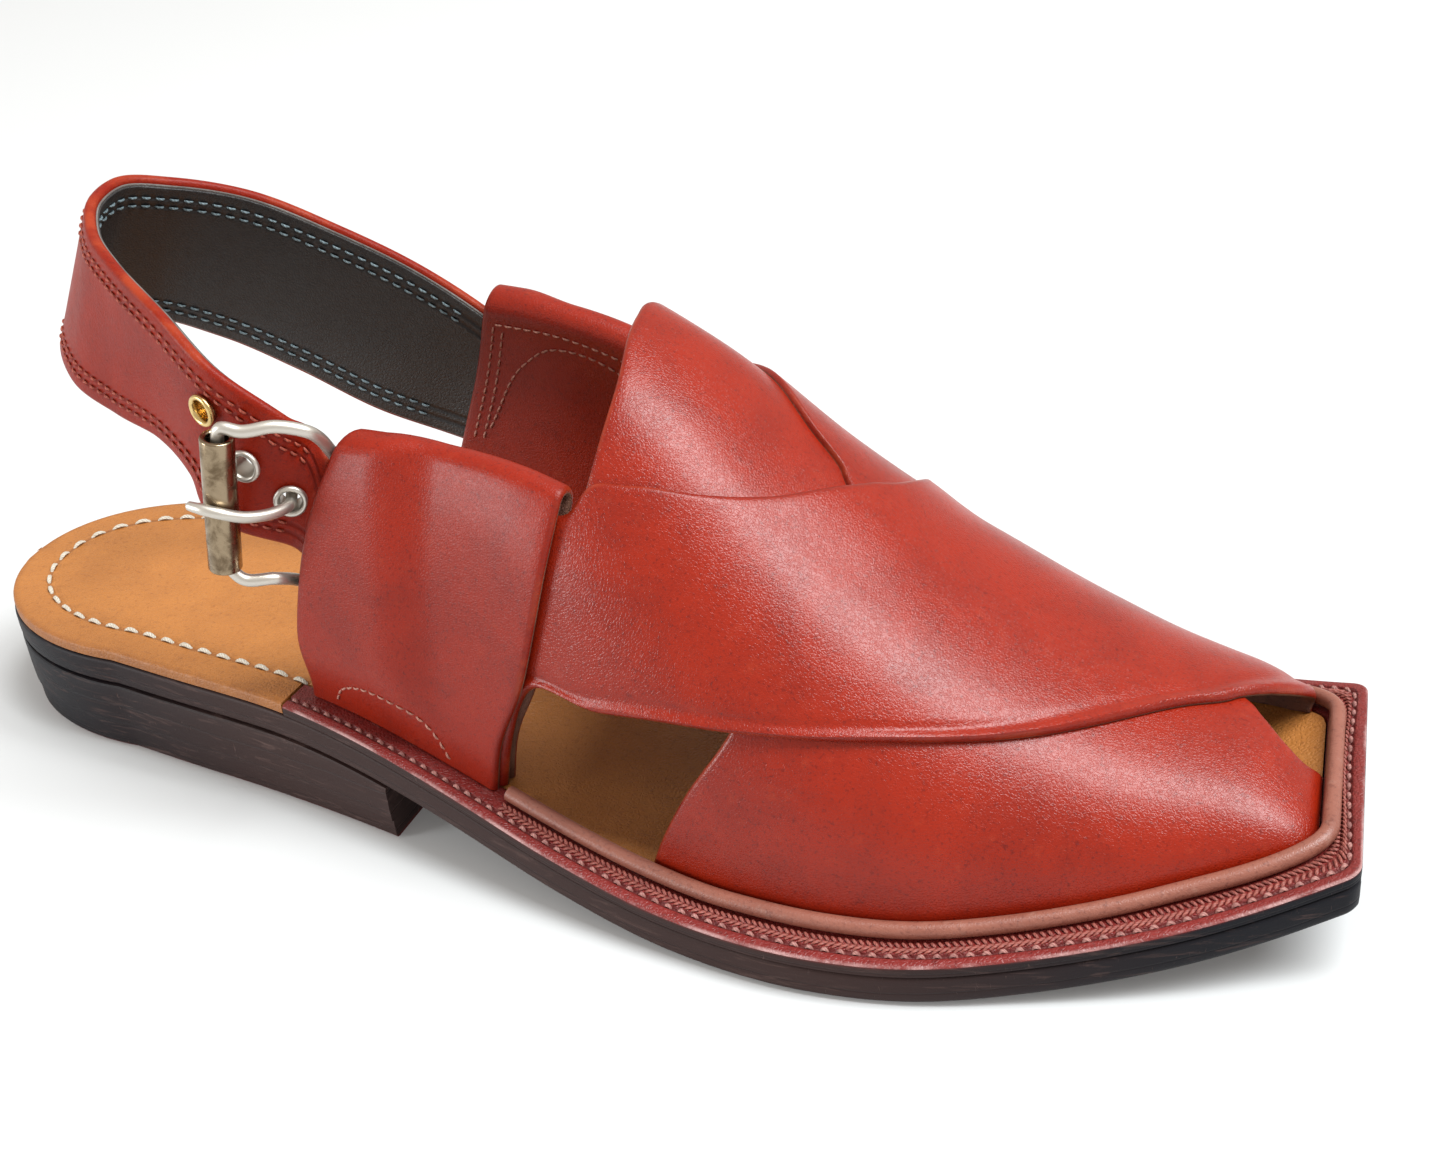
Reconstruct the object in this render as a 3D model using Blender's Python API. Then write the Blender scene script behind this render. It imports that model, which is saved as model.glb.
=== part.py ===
"""A peshawari chappal, right shoe: crossed leather straps on a welted sole with a low heel.

Sizes are in millimetres and become metres where a mesh is made. In the shoe's own
sizes X runs from the heel's back to the toe, +Y is the inner (big toe) side, and
Z is the height above the floor. The finished part is centred on the floor.
"""
import math

import bmesh
import bpy
import numpy as np

MM = 0.001
GAP = 0.3

# Sole
SHOE_LENGTH = 290.0
SEAT_HEIGHT = 24.4
BALL_HEIGHT = 8.3
SOLE_STACK = 8.3
TOP_LAYER = 2.2
SHANK_START = 82.0
SHANK_END = 190.0
SPRING_START = 213.4
TOE_SPRING = 13.2
HEEL_ROUND = 44.0
HEEL_MIDDLE = 4.2
TOE_SKEW = 0.089
TOE_CORNER_Y = -28.2
WELT_START = 91.0
HEEL_BREAST = 114.5

# Upper
WALL = 2.0
STRAP_RISE = 1.5
LAP_RISE = 1.2
TOE_END = 281.0
TOE_WRAP = 262.0
TOE_GIRTH = 30.0
CORD_RADIUS = 1.5
CORD_START = 141.0

# Heel strap and buckle
STRAP_THICK = 2.6
WIRE_RADIUS = 1.2
ROLLER_RADIUS = 3.1
ROLLER_BORE = 2.1
PRONG_RADIUS = 1.1
EYELET_BORE = 2.0
EYELET_BARREL = 2.4
EYELET_FLANGE = 3.2

# Outline of the sole at its top edge, past the round of the heel
SOLE_ROWS = [
    # station, outer side, inner side
    (44, -28.4, 34.8),
    (60, -30.9, 34.9),
    (80, -33.8, 34.2),
    (105, -38.4, 33.6),
    (130, -44.2, 34.4),
    (155, -50.8, 37.4),
    (180, -56.0, 42.0),
    (205, -58.2, 46.0),
    (222, -56.0, 46.2),
    (240, -50.4, 43.0),
    (265, -40.5, 34.8),
    (290, -28.2, 26.0),
]

# The last that the straps are pulled over, given for the inside of their leather
LAST_ROWS = [
    # station, outer foot line, inner foot line, ridge, ridge height, outer fullness, inner fullness
    (90, -25.5, 27.0, 6.0, 96.0, 2.1, 3.6),
    (110, -29.0, 26.5, 6.0, 97.5, 2.1, 3.6),
    (130, -33.5, 26.5, 5.8, 97.5, 2.15, 3.2),
    (150, -38.5, 28.5, 5.0, 94.5, 2.2, 2.6),
    (170, -43.0, 32.0, 4.2, 84.5, 2.2, 2.3),
    (190, -46.3, 35.5, 3.4, 67.5, 2.2, 2.2),
    (205, -47.0, 37.0, 2.7, 56.3, 2.2, 2.2),
    (220, -45.2, 37.0, 2.0, 46.8, 2.25, 2.25),
    (235, -40.5, 34.5, 1.4, 38.6, 2.25, 2.25),
    (250, -34.5, 30.0, 1.0, 32.4, 2.3, 2.3),
    (262, -29.0, 26.0, 1.4, 29.4, 2.3, 2.3),
    (281, -21.0, 18.5, 2.0, 26.0, 2.4, 2.4),
]

# Edges of the straps, as (station, girth) on the last: girth is -1 at the outer
# foot line, 0 on the ridge and +1 at the inner foot line
TOP_STRAP_FRONT = [(140, -1.0), (143, -0.92), (148, -0.83), (165, -0.78), (188, -0.68),
                   (211, -0.555), (236, -0.375), (257, -0.10), (266.5, 0.01), (272, 0.14),
                   (276.5, 0.36), (278.8, 0.66), (279.2, 1.0)]
TOP_STRAP_BACK = [(121, -1.0), (121, -0.75), (125, -0.56), (140, -0.535), (151, -0.52),
                  (156.5, -0.50), (160, -0.43), (166, -0.39), (177, -0.31), (186, -0.20), (194, -0.06), (200, 0.07),
                  (202, 0.25), (198, 0.48), (189, 0.69), (180, 0.85), (172, 1.0)]
UNDER_STRAP_FRONT = [(281, -0.08), (278.4, -0.15), (275.3, -0.10), (271.3, -0.02), (266.9, 0.05),
                     (257, 0.14), (236, 0.36), (211, 0.56), (188, 0.69), (165, 0.78),
                     (148, 0.84), (140, 1.0)]
UNDER_STRAP_BACK = [(172, -1.0), (180, -0.85), (187.5, -0.70), (193, -0.50), (198, -0.30),
                    (200, -0.12), (193, 0.0), (185, 0.07), (177.4, 0.15), (170, 0.26),
                    (161, 0.38), (157.5, 0.50), (152, 0.555), (137, 0.57), (125, 0.59), (121, 0.75), (121, 1.0)]
UNDER_STRAP_TOE = [(281, -0.08), (281, -0.6), (281, -1.0), (262, -1.0), (215, -1.0), (172, -1.0)]
TONGUE_BACK = [(158.5, -0.50), (159.5, -0.36), (159.5, -0.21), (157, -0.04), (155.7, 0.07),
               (156, 0.22), (157.5, 0.36), (159, 0.44)]
TONGUE_FRONT = [(206, -0.46), (207, -0.25), (207, -0.04)]
TONGUE_OUTER = [(158.5, -0.50), (182, -0.50), (206, -0.46)]
TONGUE_INNER = [(159, 0.44), (172, 0.34), (184, 0.21), (196, 0.09), (207, -0.04)]

# Side loops, from the foot line up to the fold, for the outer side
LOOP_BACK = [(95.5, -1.0), (99.4, -0.81), (102.5, -0.70), (111.7, -0.49)]
LOOP_FRONT = [(139.5, -1.0), (141.5, -0.94), (149, -0.81), (155, -0.57), (156.5, -0.455)]
INNER_LOOP_BACK = [(95.5, -1.0), (99.5, -0.93), (106, -0.785), (112.8, -0.52)]
INNER_LOOP_FRONT = [(139.5, -1.0), (141.5, -0.94), (148, -0.81), (153, -0.62), (155, -0.50)]

# Heel strap between the loops
HEEL_STRAP_ROWS = [
    # x, y, z, lean in degrees, width, bow of its section
    (92.5, -30.1, 73.0, 0, 28.5, 0.5),
    (84.0, -28.7, 80.5, 0, 29.5, 0.0),
    (72.0, -23.5, 87.0, 0, 31.5, 0.0),
    (58.5, -17.5, 90.5, 6, 33.5, 0.0),
    (46.5, -10.5, 93.5, 16, 35.0, 0.0),
    (40.0, -2.0, 96.5, 26, 36.0, 0.0),
    (39.0, 7.0, 97.0, 28, 36.0, 0.0),
    (44.5, 16.5, 94.0, 21, 36.0, 0.0),
    (57.0, 23.5, 88.5, 8, 36.0, 0.0),
    (73.0, 27.5, 80.5, 2, 36.0, 0.3),
    (90.0, 30.0, 71.5, 0, 36.0, 0.6),
]


# Where the heel strap lies inside the loops: middle, upper and lower edge, height off the last
TUCKED_OUTER = [((110.0, -0.700), (114.0, -0.650), (105.5, -0.745), 4.1),
                ((105.3, -0.670), (109.6, -0.605), (101.0, -0.745), 4.1),
                ((100.8, -0.625), (104.8, -0.530), (96.5, -0.735), 4.1)]
TUCKED_INNER = [((104.0, 0.765), (111.8, 0.59), (96.2, 0.897), 1.6),
                ((112.0, 0.80), (119.0, 0.65), (105.0, 0.905), 1.6)]

# The roller's ends, and the eyelets as (x, z) on the heel strap
ROLLER_ENDS = [(88.2, -38.2, 55.2), (93.8, -38.2, 83.9)]
EYELETS = [(100.7, 68.4), (93.6, 74.7), (83.3, 83.3)]

# The buckle's wire outside the loop, past the top and the bottom of the roller
WIRE_TOP = [(95.0, -38.2, 86.6), (98.8, -37.4, 88.0), (103.5, -34.4, 86.6), (106.9, -30.8, 81.6)]
WIRE_BOTTOM = [(95.0, -34.0, 48.2), (90.8, -37.4, 50.2)]
WIRE_BAR = [(109.2, -0.555, 3.2), (111.0, -0.567, 2.5), (109.8, -0.61, 1.3), (107.5, -0.69, 1.2),
            (105.2, -0.745, 1.2), (103.6, -0.785, 1.5), (100.8, -0.79, 2.8), (98.2, -0.785, 4.2)]
PRONG_PATH = [(98.0, -38.0, 68.9), (94.5, -42.2, 69.6), (90.5, -43.2, 70.1), (86.4, -42.6, 70.3)]


def smooth(t):
    """An S-shaped step from 0 to 1."""
    t = np.clip(t, 0.0, 1.0)
    return t * t * (3.0 - 2.0 * t)


def through(x, xs, ys):
    """A smooth curve y(x) through a table's points."""
    xs = np.asarray(xs, float)
    ys = np.asarray(ys, float)
    x = np.asarray(x, float)
    slope = np.gradient(ys, xs)
    i = np.clip(np.searchsorted(xs, x) - 1, 0, len(xs) - 2)
    h = xs[i + 1] - xs[i]
    t = np.clip((x - xs[i]) / h, 0.0, 1.0)
    keep = (2 * t**3 - 3 * t**2 + 1) * ys[i] + (3 * t**2 - 2 * t**3) * ys[i + 1]
    turn = (t**3 - 2 * t**2 + t) * h * slope[i] + (t**3 - t**2) * h * slope[i + 1]
    return keep + turn


def column(rows, k):
    """One named column of a table."""
    return [row[k] for row in rows]


def top_height(x):
    """Height of the top of the welt and the insole along the shoe."""
    x = np.asarray(x, float)
    shank = smooth((x - SHANK_START) / (SHANK_END - SHANK_START))
    spring = np.clip((x - SPRING_START) / (SHOE_LENGTH - SPRING_START), 0.0, 1.2)
    return SEAT_HEIGHT + (BALL_HEIGHT - SEAT_HEIGHT) * shank + TOE_SPRING * spring**2


def skewed(points):
    """Set the square toe slightly back on its inner side."""
    points = np.array(points, float)
    pull = smooth((points[..., 0] - 240.0) / 50.0)
    points[..., 0] -= TOE_SKEW * (points[..., 1] - TOE_CORNER_Y) * pull
    return points


def side_of_sole(x, side):
    """Y of the sole's top edge at a station; side is -1 for outer and +1 for inner."""
    x = np.asarray(x, float)
    ys = column(SOLE_ROWS, 1 if side < 0 else 2)
    power = 2.05 if side < 0 else 2.25
    back = np.clip((HEEL_ROUND - x) / HEEL_ROUND, 0.0, 1.0)
    round_y = HEEL_MIDDLE + (ys[0] - HEEL_MIDDLE) * (1.0 - back**power) ** (1.0 / power)
    return np.where(x < HEEL_ROUND, round_y, through(x, column(SOLE_ROWS, 0), ys))


def inset_side(x, side, inset):
    """The sole's edge moved inwards by inset, read at the stations x."""
    fine = np.concatenate([np.linspace(0, 4, 17)[:-1], np.linspace(4, SHOE_LENGTH, 287)])
    y = side_of_sole(fine, side)
    tangent = np.stack([np.gradient(fine), np.gradient(y)], 1)
    tangent /= np.linalg.norm(tangent, axis=1, keepdims=True)
    moved_x = fine + side * tangent[:, 1] * inset
    moved_y = y - side * tangent[:, 0] * inset
    return np.interp(x, moved_x, moved_y)


def toe_round(x, start, power):
    """1 before start, falling in a round to 0 at the toe end of the last."""
    s = np.clip((x - start) / (TOE_END - start), 0.0, 1.0)
    return (1.0 - s**power) ** (1.0 / power)


def foot_line(x, side):
    """Y of the last at the insole."""
    y = through(x, column(LAST_ROWS, 0), column(LAST_ROWS, 1 if side < 0 else 2))
    return y * (0.80 + 0.20 * toe_round(x, 266.0, 2.6))


def last_point(x, girth):
    """A point of the last's surface at a station and girth."""
    x = np.asarray(x, float)
    girth = np.asarray(girth, float)
    stations = column(LAST_ROWS, 0)
    ridge_y = through(x, stations, column(LAST_ROWS, 3))
    base = top_height(x)
    ridge = (through(x, stations, column(LAST_ROWS, 4)) - base) * toe_round(x, 266.0, 2.2)
    outer = through(x, stations, column(LAST_ROWS, 5))
    inner = through(x, stations, column(LAST_ROWS, 6))
    fullness = np.where(girth < 0, outer, inner)
    angle = np.clip(girth, -1.0, 1.0) * math.pi / 2
    side = np.abs(np.sin(angle)) ** (2.0 / fullness)
    up = np.abs(np.cos(angle)) ** (2.0 / fullness)
    flare = 3.5 * (1.0 - smooth((x - 125.0) / 40.0)) * 2.0 * side * up
    left = ridge_y + (foot_line(x, -1) - ridge_y) * side
    right = ridge_y + (foot_line(x, 1) - ridge_y) * side + flare
    y = np.where(girth < 0, left, right)
    z = base + ridge * up
    return np.stack(np.broadcast_arrays(x, y, z), -1)


def wrap(x):
    """Station to length along the surface, which stretches the round of the toe."""
    x = np.asarray(x, float)
    s = np.clip((x - TOE_WRAP) / (TOE_END - TOE_WRAP), 0.0, 1.0)
    return np.where(x < TOE_WRAP, x, TOE_WRAP + TOE_GIRTH * np.arcsin(s) / (math.pi / 2))


def unwrap(w):
    """Length along the surface back to station."""
    w = np.asarray(w, float)
    s = np.sin(np.clip((w - TOE_WRAP) / TOE_GIRTH, 0.0, 1.0) * math.pi / 2)
    return np.where(w < TOE_WRAP, w, TOE_WRAP + (TOE_END - TOE_WRAP) * s)


def on_last(x, girth, off):
    """A point that stands off the last's surface by off."""
    w = np.clip(wrap(x), 0.0, TOE_WRAP + TOE_GIRTH - 0.5)
    g = np.clip(np.asarray(girth, float), -0.985, 0.985)
    w, g = np.broadcast_arrays(w, g)
    along = last_point(unwrap(w + 0.3), g) - last_point(unwrap(w - 0.3), g)
    across = last_point(unwrap(w), g + 0.004) - last_point(unwrap(w), g - 0.004)
    normal = np.cross(along, across)
    normal /= np.linalg.norm(normal, axis=-1, keepdims=True)
    off = np.broadcast_to(np.asarray(off, float), g.shape)
    return last_point(x, girth) + normal * off[..., None]


def seated(points):
    """Points whose lowest level is just over the insole."""
    points[..., 2] = np.maximum(points[..., 2], top_height(points[..., 0]) + GAP)
    return points


def lay_off_top(x, girth):
    """How far the top strap stands off the last."""
    foot = 1.0 - smooth((np.abs(girth) - 0.80) / 0.15)
    lap = LAP_RISE * smooth((girth + 0.25) / 0.2) * smooth((214.0 - x) / 14.0)
    return (STRAP_RISE + lap) * foot * smooth((x - 135.0) / 30.0)


def lay_off_under(x, girth):
    """The under strap lies on the last, but laps over the inner edge of the tongue."""
    near = smooth((girth + 0.25) / 0.2) * smooth((214.0 - x) / 14.0)
    away = (1.0 - smooth((girth - 0.75) / 0.2)) * smooth((x - 125.0) / 25.0)
    return LAP_RISE * near * away


def lay_off_tongue(x, girth):
    """The tongue lies on the last itself."""
    return 0.0 * x * girth


def curve_through(points, count):
    """Even points on a smooth curve through (station, girth) points."""
    flat = np.array([(float(wrap(x)), g * 60.0) for x, g in points])
    steps = np.linalg.norm(np.diff(flat, axis=0), axis=1)
    length = np.concatenate([[0.0], np.cumsum(steps)])
    fine = np.linspace(0.0, length[-1], 400)
    path = np.stack([through(fine, length, flat[:, k]) for k in (0, 1)], 1)
    run = np.concatenate([[0.0], np.cumsum(np.linalg.norm(np.diff(path, axis=0), axis=1))])
    even = np.linspace(0.0, run[-1], count)
    return np.stack([np.interp(even, run, path[:, k]) for k in (0, 1)], 1)


def patch(start, end, front, back, along, across):
    """A grid of (station, girth) between four edges that share their corners."""
    front = curve_through(front, along)
    back = curve_through(back, along)
    start = curve_through(start, across)
    end = curve_through(end, across)
    a = np.linspace(0, 1, along)[:, None, None]
    b = np.linspace(0, 1, across)[None, :, None]
    grid = (1 - b) * front[:, None] + b * back[:, None] + (1 - a) * start[None] + a * end[None]
    grid -= (1 - a) * ((1 - b) * front[0] + b * back[0]) + a * ((1 - b) * front[-1] + b * back[-1])
    x = unwrap(np.clip(grid[..., 0], 0.0, TOE_WRAP + TOE_GIRTH))
    return x, np.clip(grid[..., 1] / 60.0, -1.0, 1.0)


def material(name, colour, roughness, metallic=0.0):
    """A plain surface in the leather's or metal's colour."""
    found = bpy.data.materials.get(name)
    if found:
        return found
    made = bpy.data.materials.new(name)
    made.use_nodes = True
    shader = made.node_tree.nodes["Principled BSDF"]
    shader.inputs["Base Color"].default_value = (*colour, 1.0)
    shader.inputs["Roughness"].default_value = roughness
    shader.inputs["Metallic"].default_value = metallic
    return made


def centre_of_outline():
    """The middle of the sole's bounding rectangle, which becomes the origin."""
    fine = np.linspace(0, SHOE_LENGTH, 1161)
    low = side_of_sole(fine, -1).min()
    high = side_of_sole(fine, 1).max()
    return np.array([SHOE_LENGTH / 2, (low + high) / 2, 0.0])


def make_object(name, points, faces, surface):
    """One closed solid from points in millimetres."""
    points = (skewed(points) - centre_of_outline()) * MM
    mesh = bpy.data.meshes.new(name)
    shape = bmesh.new()
    corners = [shape.verts.new(p) for p in points]
    for face in faces:
        shape.faces.new([corners[k] for k in face])
    bmesh.ops.remove_doubles(shape, verts=shape.verts, dist=1e-6)
    bmesh.ops.triangulate(shape, faces=shape.faces)
    bmesh.ops.recalc_face_normals(shape, faces=shape.faces)
    if shape.calc_volume(signed=True) < 0:
        bmesh.ops.reverse_faces(shape, faces=shape.faces)
    shape.to_mesh(mesh)
    shape.free()
    mesh.materials.append(surface)
    mesh.shade_smooth()
    mesh.set_sharp_from_angle(angle=math.radians(40))
    thing = bpy.data.objects.new(name, mesh)
    bpy.context.collection.objects.link(thing)
    return thing


def loft(name, sections, surface, closed=False):
    """A solid through like sections, each a ring of points."""
    sections = np.asarray(sections, float)
    count, ring = sections.shape[:2]
    faces = []
    for i in range(count if closed else count - 1):
        j = (i + 1) % count
        for k in range(ring):
            m = (k + 1) % ring
            faces.append((i * ring + k, i * ring + m, j * ring + m, j * ring + k))
    if not closed:
        faces.append(tuple(range(ring)))
        faces.append(tuple((count - 1) * ring + k for k in range(ring)))
    return make_object(name, sections.reshape(-1, 3), faces, surface)


def stations(start, end, step=8.0):
    """Stations along the shoe, shared by all flat pieces, closer in the round of the heel."""
    round_heel = HEEL_ROUND * (1.0 - np.cos(np.linspace(0, math.pi / 2, 12)))
    straight = np.arange(HEEL_ROUND, SHOE_LENGTH + 1.0, step)
    inner = [x for x in np.concatenate([round_heel[1:], straight[1:]]) if start + 0.4 < x < end - 0.4]
    return np.concatenate([[start], inner, [end]])


def edge_slab(name, start, end, profile, surface):
    """A slab with the sole's outline: profile rows are (inset, height over x as a function)."""
    sections = []
    xs = stations(start, end)
    for i, x in enumerate(xs):
        ring = []
        for side in (-1, 1):
            rows = profile if side < 0 else profile[::-1]
            for row, (inset, height) in enumerate(rows):
                at = x
                if i == 0 and start < 1.0:
                    at = x + inset
                if i == len(xs) - 1 and end > 280:
                    at = x - inset
                ring.append((at, inset_side(at, side, inset), height(at)))
        sections.append(ring)
    return loft(name, sections, surface)


def build_outsole(surface):
    """Outsole with its arch, toe spring and slightly rounded edges."""
    def low(rise):
        return lambda x: top_height(x) - SOLE_STACK + rise

    top = SOLE_STACK - TOP_LAYER - GAP
    profile = [(0.9, low(0.0)), (0.2, low(0.8)), (0.0, low(2.0)), (0.0, low(top - 0.6)), (0.5, low(top))]
    return edge_slab("outsole", 0.15, SHOE_LENGTH, profile, surface)


def build_heel(surface):
    """Heel block, flat on the floor and fitted to the outsole above it."""
    def share(part, rise):
        return lambda x: part * (top_height(x) - SOLE_STACK - GAP) + rise

    profile = [(1.2, share(0, 0.0)), (0.6, share(0, 0.8)), (0.5, share(0.33, 0.0)),
               (0.1, share(0.37, 0.0)), (0.0, share(1, -0.4)), (0.4, share(1, 0.0))]
    return edge_slab("heel_block", 0.15, HEEL_BREAST, profile, surface)


def foot_outline(off, count=60):
    """The last's foot line moved outwards, as outer and inner Y over stations."""
    x = unwrap(np.linspace(80.0, TOE_WRAP + TOE_GIRTH, count))
    lines = []
    for side in (-1, 1):
        y = foot_line(x, side)
        tangent = np.stack([np.gradient(x), np.gradient(y)], 1)
        tangent /= np.linalg.norm(tangent, axis=1, keepdims=True)
        lines.append((x - side * tangent[:, 1] * off, y + side * tangent[:, 0] * off))
    return lines


def foot_plate(name, start, end_off, off, height_low, height_high, surface, seat=None):
    """A plate inside the foot line; seat adds the part that covers the heel."""
    lines = foot_outline(off)
    end = TOE_END + end_off
    sections = []
    if seat is not None:
        for x in stations(seat, start - 0.1):
            at = x + 0.4 if x < 1 else x
            ring = [(at, inset_side(at, s, 0.4), h) for s, h in ((-1, 0), (-1, 1), (1, 1), (1, 0))]
            sections.append(ring)
    for x in stations(start + 0.1, end):
        ring = [(x, np.interp(x, *lines[0 if s < 0 else 1]), h) for s, h in ((-1, 0), (-1, 1), (1, 1), (1, 0))]
        sections.append(ring)
    sections = np.array(sections, float)
    level = np.where(sections[..., 2] > 0.5, height_high, height_low)
    sections[..., 2] = top_height(sections[..., 0]) + level
    return loft(name, sections, surface)


def cut(thing, cutter, operation="DIFFERENCE"):
    """Apply an exact Boolean and remove the second object."""
    step = thing.modifiers.new("cut", "BOOLEAN")
    step.operation = operation
    step.solver = "EXACT"
    step.object = cutter
    graph = bpy.context.evaluated_depsgraph_get()
    mesh = bpy.data.meshes.new_from_object(thing.evaluated_get(graph))
    thing.modifiers.clear()
    old = thing.data
    thing.data = mesh
    bpy.data.meshes.remove(old)
    bpy.data.objects.remove(cutter, do_unlink=True)
    return thing


def build_insole(surface):
    """Insole: to the sole's edge over the heel, inside the foot line further on."""
    return foot_plate("insole", WELT_START - 0.5, WALL - 0.15, WALL - 0.15, -TOP_LAYER, 0.0, surface, seat=0.0)


def build_welt(surface):
    """Welt: the flat rim round the forefoot, open where the insole lies."""
    def level(rise):
        return lambda x: top_height(x) + rise

    profile = [(0.0, level(-TOP_LAYER)), (0.0, level(-0.5)), (0.4, level(0.0))]
    rim = edge_slab("welt", WELT_START, SHOE_LENGTH, profile, surface)
    hole = foot_plate("hole", 86.0, WALL + 0.15, WALL + 0.15, -5.0, 5.0, surface)
    return cut(rim, hole)


def tube(name, path, radius, surface, sides=8, closed=False):
    """A round bar along a path of points."""
    path = np.asarray(path, float)
    if closed:
        tangent = np.roll(path, -1, 0) - np.roll(path, 1, 0)
    else:
        tangent = np.gradient(path, axis=0)
    tangent /= np.linalg.norm(tangent, axis=1, keepdims=True)
    sections = []
    guide = np.array([0.0, 0.0, 1.0])
    if abs(tangent[0] @ guide) > 0.8:
        guide = np.array([0.0, 1.0, 0.0])
    across = np.cross(tangent[0], guide)
    for p, t in zip(path, tangent):
        across = across - t * (across @ t)
        across /= np.linalg.norm(across)
        up = np.cross(t, across)
        turn = np.arange(sides) * 2 * math.pi / sides
        sections.append(p + radius * (np.cos(turn)[:, None] * across + np.sin(turn)[:, None] * up))
    return loft(name, sections, surface, closed)


def build_piping(surface):
    """Cord round the foot of the upper, from one loop round the toe to the other."""
    off = WALL + GAP + CORD_RADIUS
    lines = foot_outline(off)
    outer = np.stack(lines[0], 1)
    inner = np.stack(lines[1], 1)
    outer = outer[outer[:, 0] > CORD_START]
    inner = inner[inner[:, 0] > CORD_START]
    flat = np.concatenate([outer, inner[::-1]])
    steps = np.concatenate([[0.0], np.cumsum(np.linalg.norm(np.diff(flat, axis=0), axis=1))])
    even = np.linspace(0.0, steps[-1], 84)
    x = np.interp(even, steps, flat[:, 0])
    y = np.interp(even, steps, flat[:, 1])
    path = np.stack([x, y, top_height(x) + GAP + CORD_RADIUS], 1)
    return tube("piping", path, CORD_RADIUS, surface)


def strap_sheet(name, edges, grid, lay_off, surface, feet):
    """A wall over part of the last: its two faces and the edges between them."""
    x, girth = patch(*edges, *grid)
    off = lay_off(x, girth)
    inner = on_last(x, girth, off)
    outer = on_last(x, girth, off + WALL)
    for face in (inner, outer):
        seated(face)
        for row in feet:
            face[row, :, 2] = top_height(face[row, :, 0]) + GAP
    rows, columns = x.shape
    points = np.concatenate([inner.reshape(-1, 3), outer.reshape(-1, 3)])
    shift = rows * columns
    faces = []
    for i in range(rows - 1):
        for j in range(columns - 1):
            k = i * columns + j
            quad = (k, k + 1, k + columns + 1, k + columns)
            faces.append(quad)
            faces.append(tuple(shift + q for q in quad[::-1]))
    rim = [j for j in range(columns)]
    rim += [i * columns + columns - 1 for i in range(1, rows)]
    rim += [(rows - 1) * columns + j for j in range(columns - 2, -1, -1)]
    rim += [i * columns for i in range(rows - 2, 0, -1)]
    for k, m in zip(rim, rim[1:] + rim[:1]):
        faces.append((k, m, shift + m, shift + k))
    return make_object(name, points, faces, surface)


def build_upper(surface):
    """The crossed straps and the tongue, joined where they cross."""
    top_foot = [TOP_STRAP_FRONT[0], TOP_STRAP_BACK[0]]
    top_toe = [TOP_STRAP_FRONT[-1], (262, 1.0), (215, 1.0), TOP_STRAP_BACK[-1]]
    edges = (top_foot, top_toe, TOP_STRAP_FRONT, TOP_STRAP_BACK)
    top = strap_sheet("upper", edges, (34, 13), lay_off_top, surface, (0, -1))
    under_foot = [UNDER_STRAP_FRONT[-1], UNDER_STRAP_BACK[-1]]
    edges = (UNDER_STRAP_TOE, under_foot, UNDER_STRAP_FRONT, UNDER_STRAP_BACK)
    under = strap_sheet("under", edges, (34, 17), lay_off_under, surface, (0, -1))
    edges = (TONGUE_BACK, TONGUE_FRONT, TONGUE_OUTER, TONGUE_INNER)
    tongue = strap_sheet("tongue", edges, (9, 11), lay_off_tongue, surface, ())
    return cut(cut(top, under, "UNION"), tongue, "UNION")


def loop_line(rows, share):
    """Points of a loop's back or front line, as stations and girths."""
    flat = curve_through(rows, 60)
    even = np.linspace(0, 1, 60)
    return unwrap(np.interp(share, even, flat[:, 0])), np.interp(share, even, flat[:, 1]) / 60.0


def build_loop(name, side, lines, lay_off, swell, surface):
    """A folded band that holds a strap's end; side is -1 for outer and +1 for inner."""
    upright = np.linspace(0.0, 1.0, 9)
    bend = np.linspace(0.0, math.pi, 7)
    sections = []
    for a in np.linspace(0.0, 1.0, 13):
        back_x, back_g = loop_line(lines[0], upright)
        front_x, front_g = loop_line(lines[1], upright)
        x = back_x + (front_x - back_x) * a
        g = (back_g + (front_g - back_g) * a) * -side
        room = swell * (1.0 - smooth((x - 118.0) / 12.0)) * smooth(upright / 0.25)
        base = lay_off(x, g)
        low = -GAP
        high = WALL + GAP + room
        span = np.linalg.norm(np.diff(last_point(x, g), axis=0), axis=1).sum()
        reach = (high[-1] + WALL - low + WALL) / 2
        keep = 1.0 - reach / span
        xs = np.interp(upright * keep, upright, x)
        gs = np.interp(upright * keep, upright, g)
        offs = np.interp(upright * keep, upright, base)
        highs = np.interp(upright * keep, upright, high)
        faces = [seated(on_last(xs, gs, offs + level))
                 for level in (highs + WALL, highs, low + 0 * highs, low - WALL + 0 * highs)]
        for face in faces:
            face[0, 2] = top_height(face[0, 0]) + GAP
        crest = last_point(xs[-1], gs[-1]) - last_point(xs[-2], gs[-2])
        crest /= np.linalg.norm(crest)
        outer_out, outer_in, inner_out, inner_in = faces
        ring = list(outer_out)
        ring += arc(outer_out[-1], inner_in[-1], crest, bend)
        ring += list(inner_in[::-1])
        ring += list(inner_out)
        ring += arc(inner_out[-1], outer_in[-1], crest, bend)
        ring += list(outer_in[::-1])
        sections.append(ring)
    return loft(name, sections, surface)


def arc(start, end, crest, bend):
    """Points of a half round from start over the crest to end, without its ends."""
    middle = (start + end) / 2
    half = (start - end) / 2
    reach = np.linalg.norm(half)
    return [middle + half * math.cos(t) + crest * reach * math.sin(t) for t in bend[1:-1]]


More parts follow.
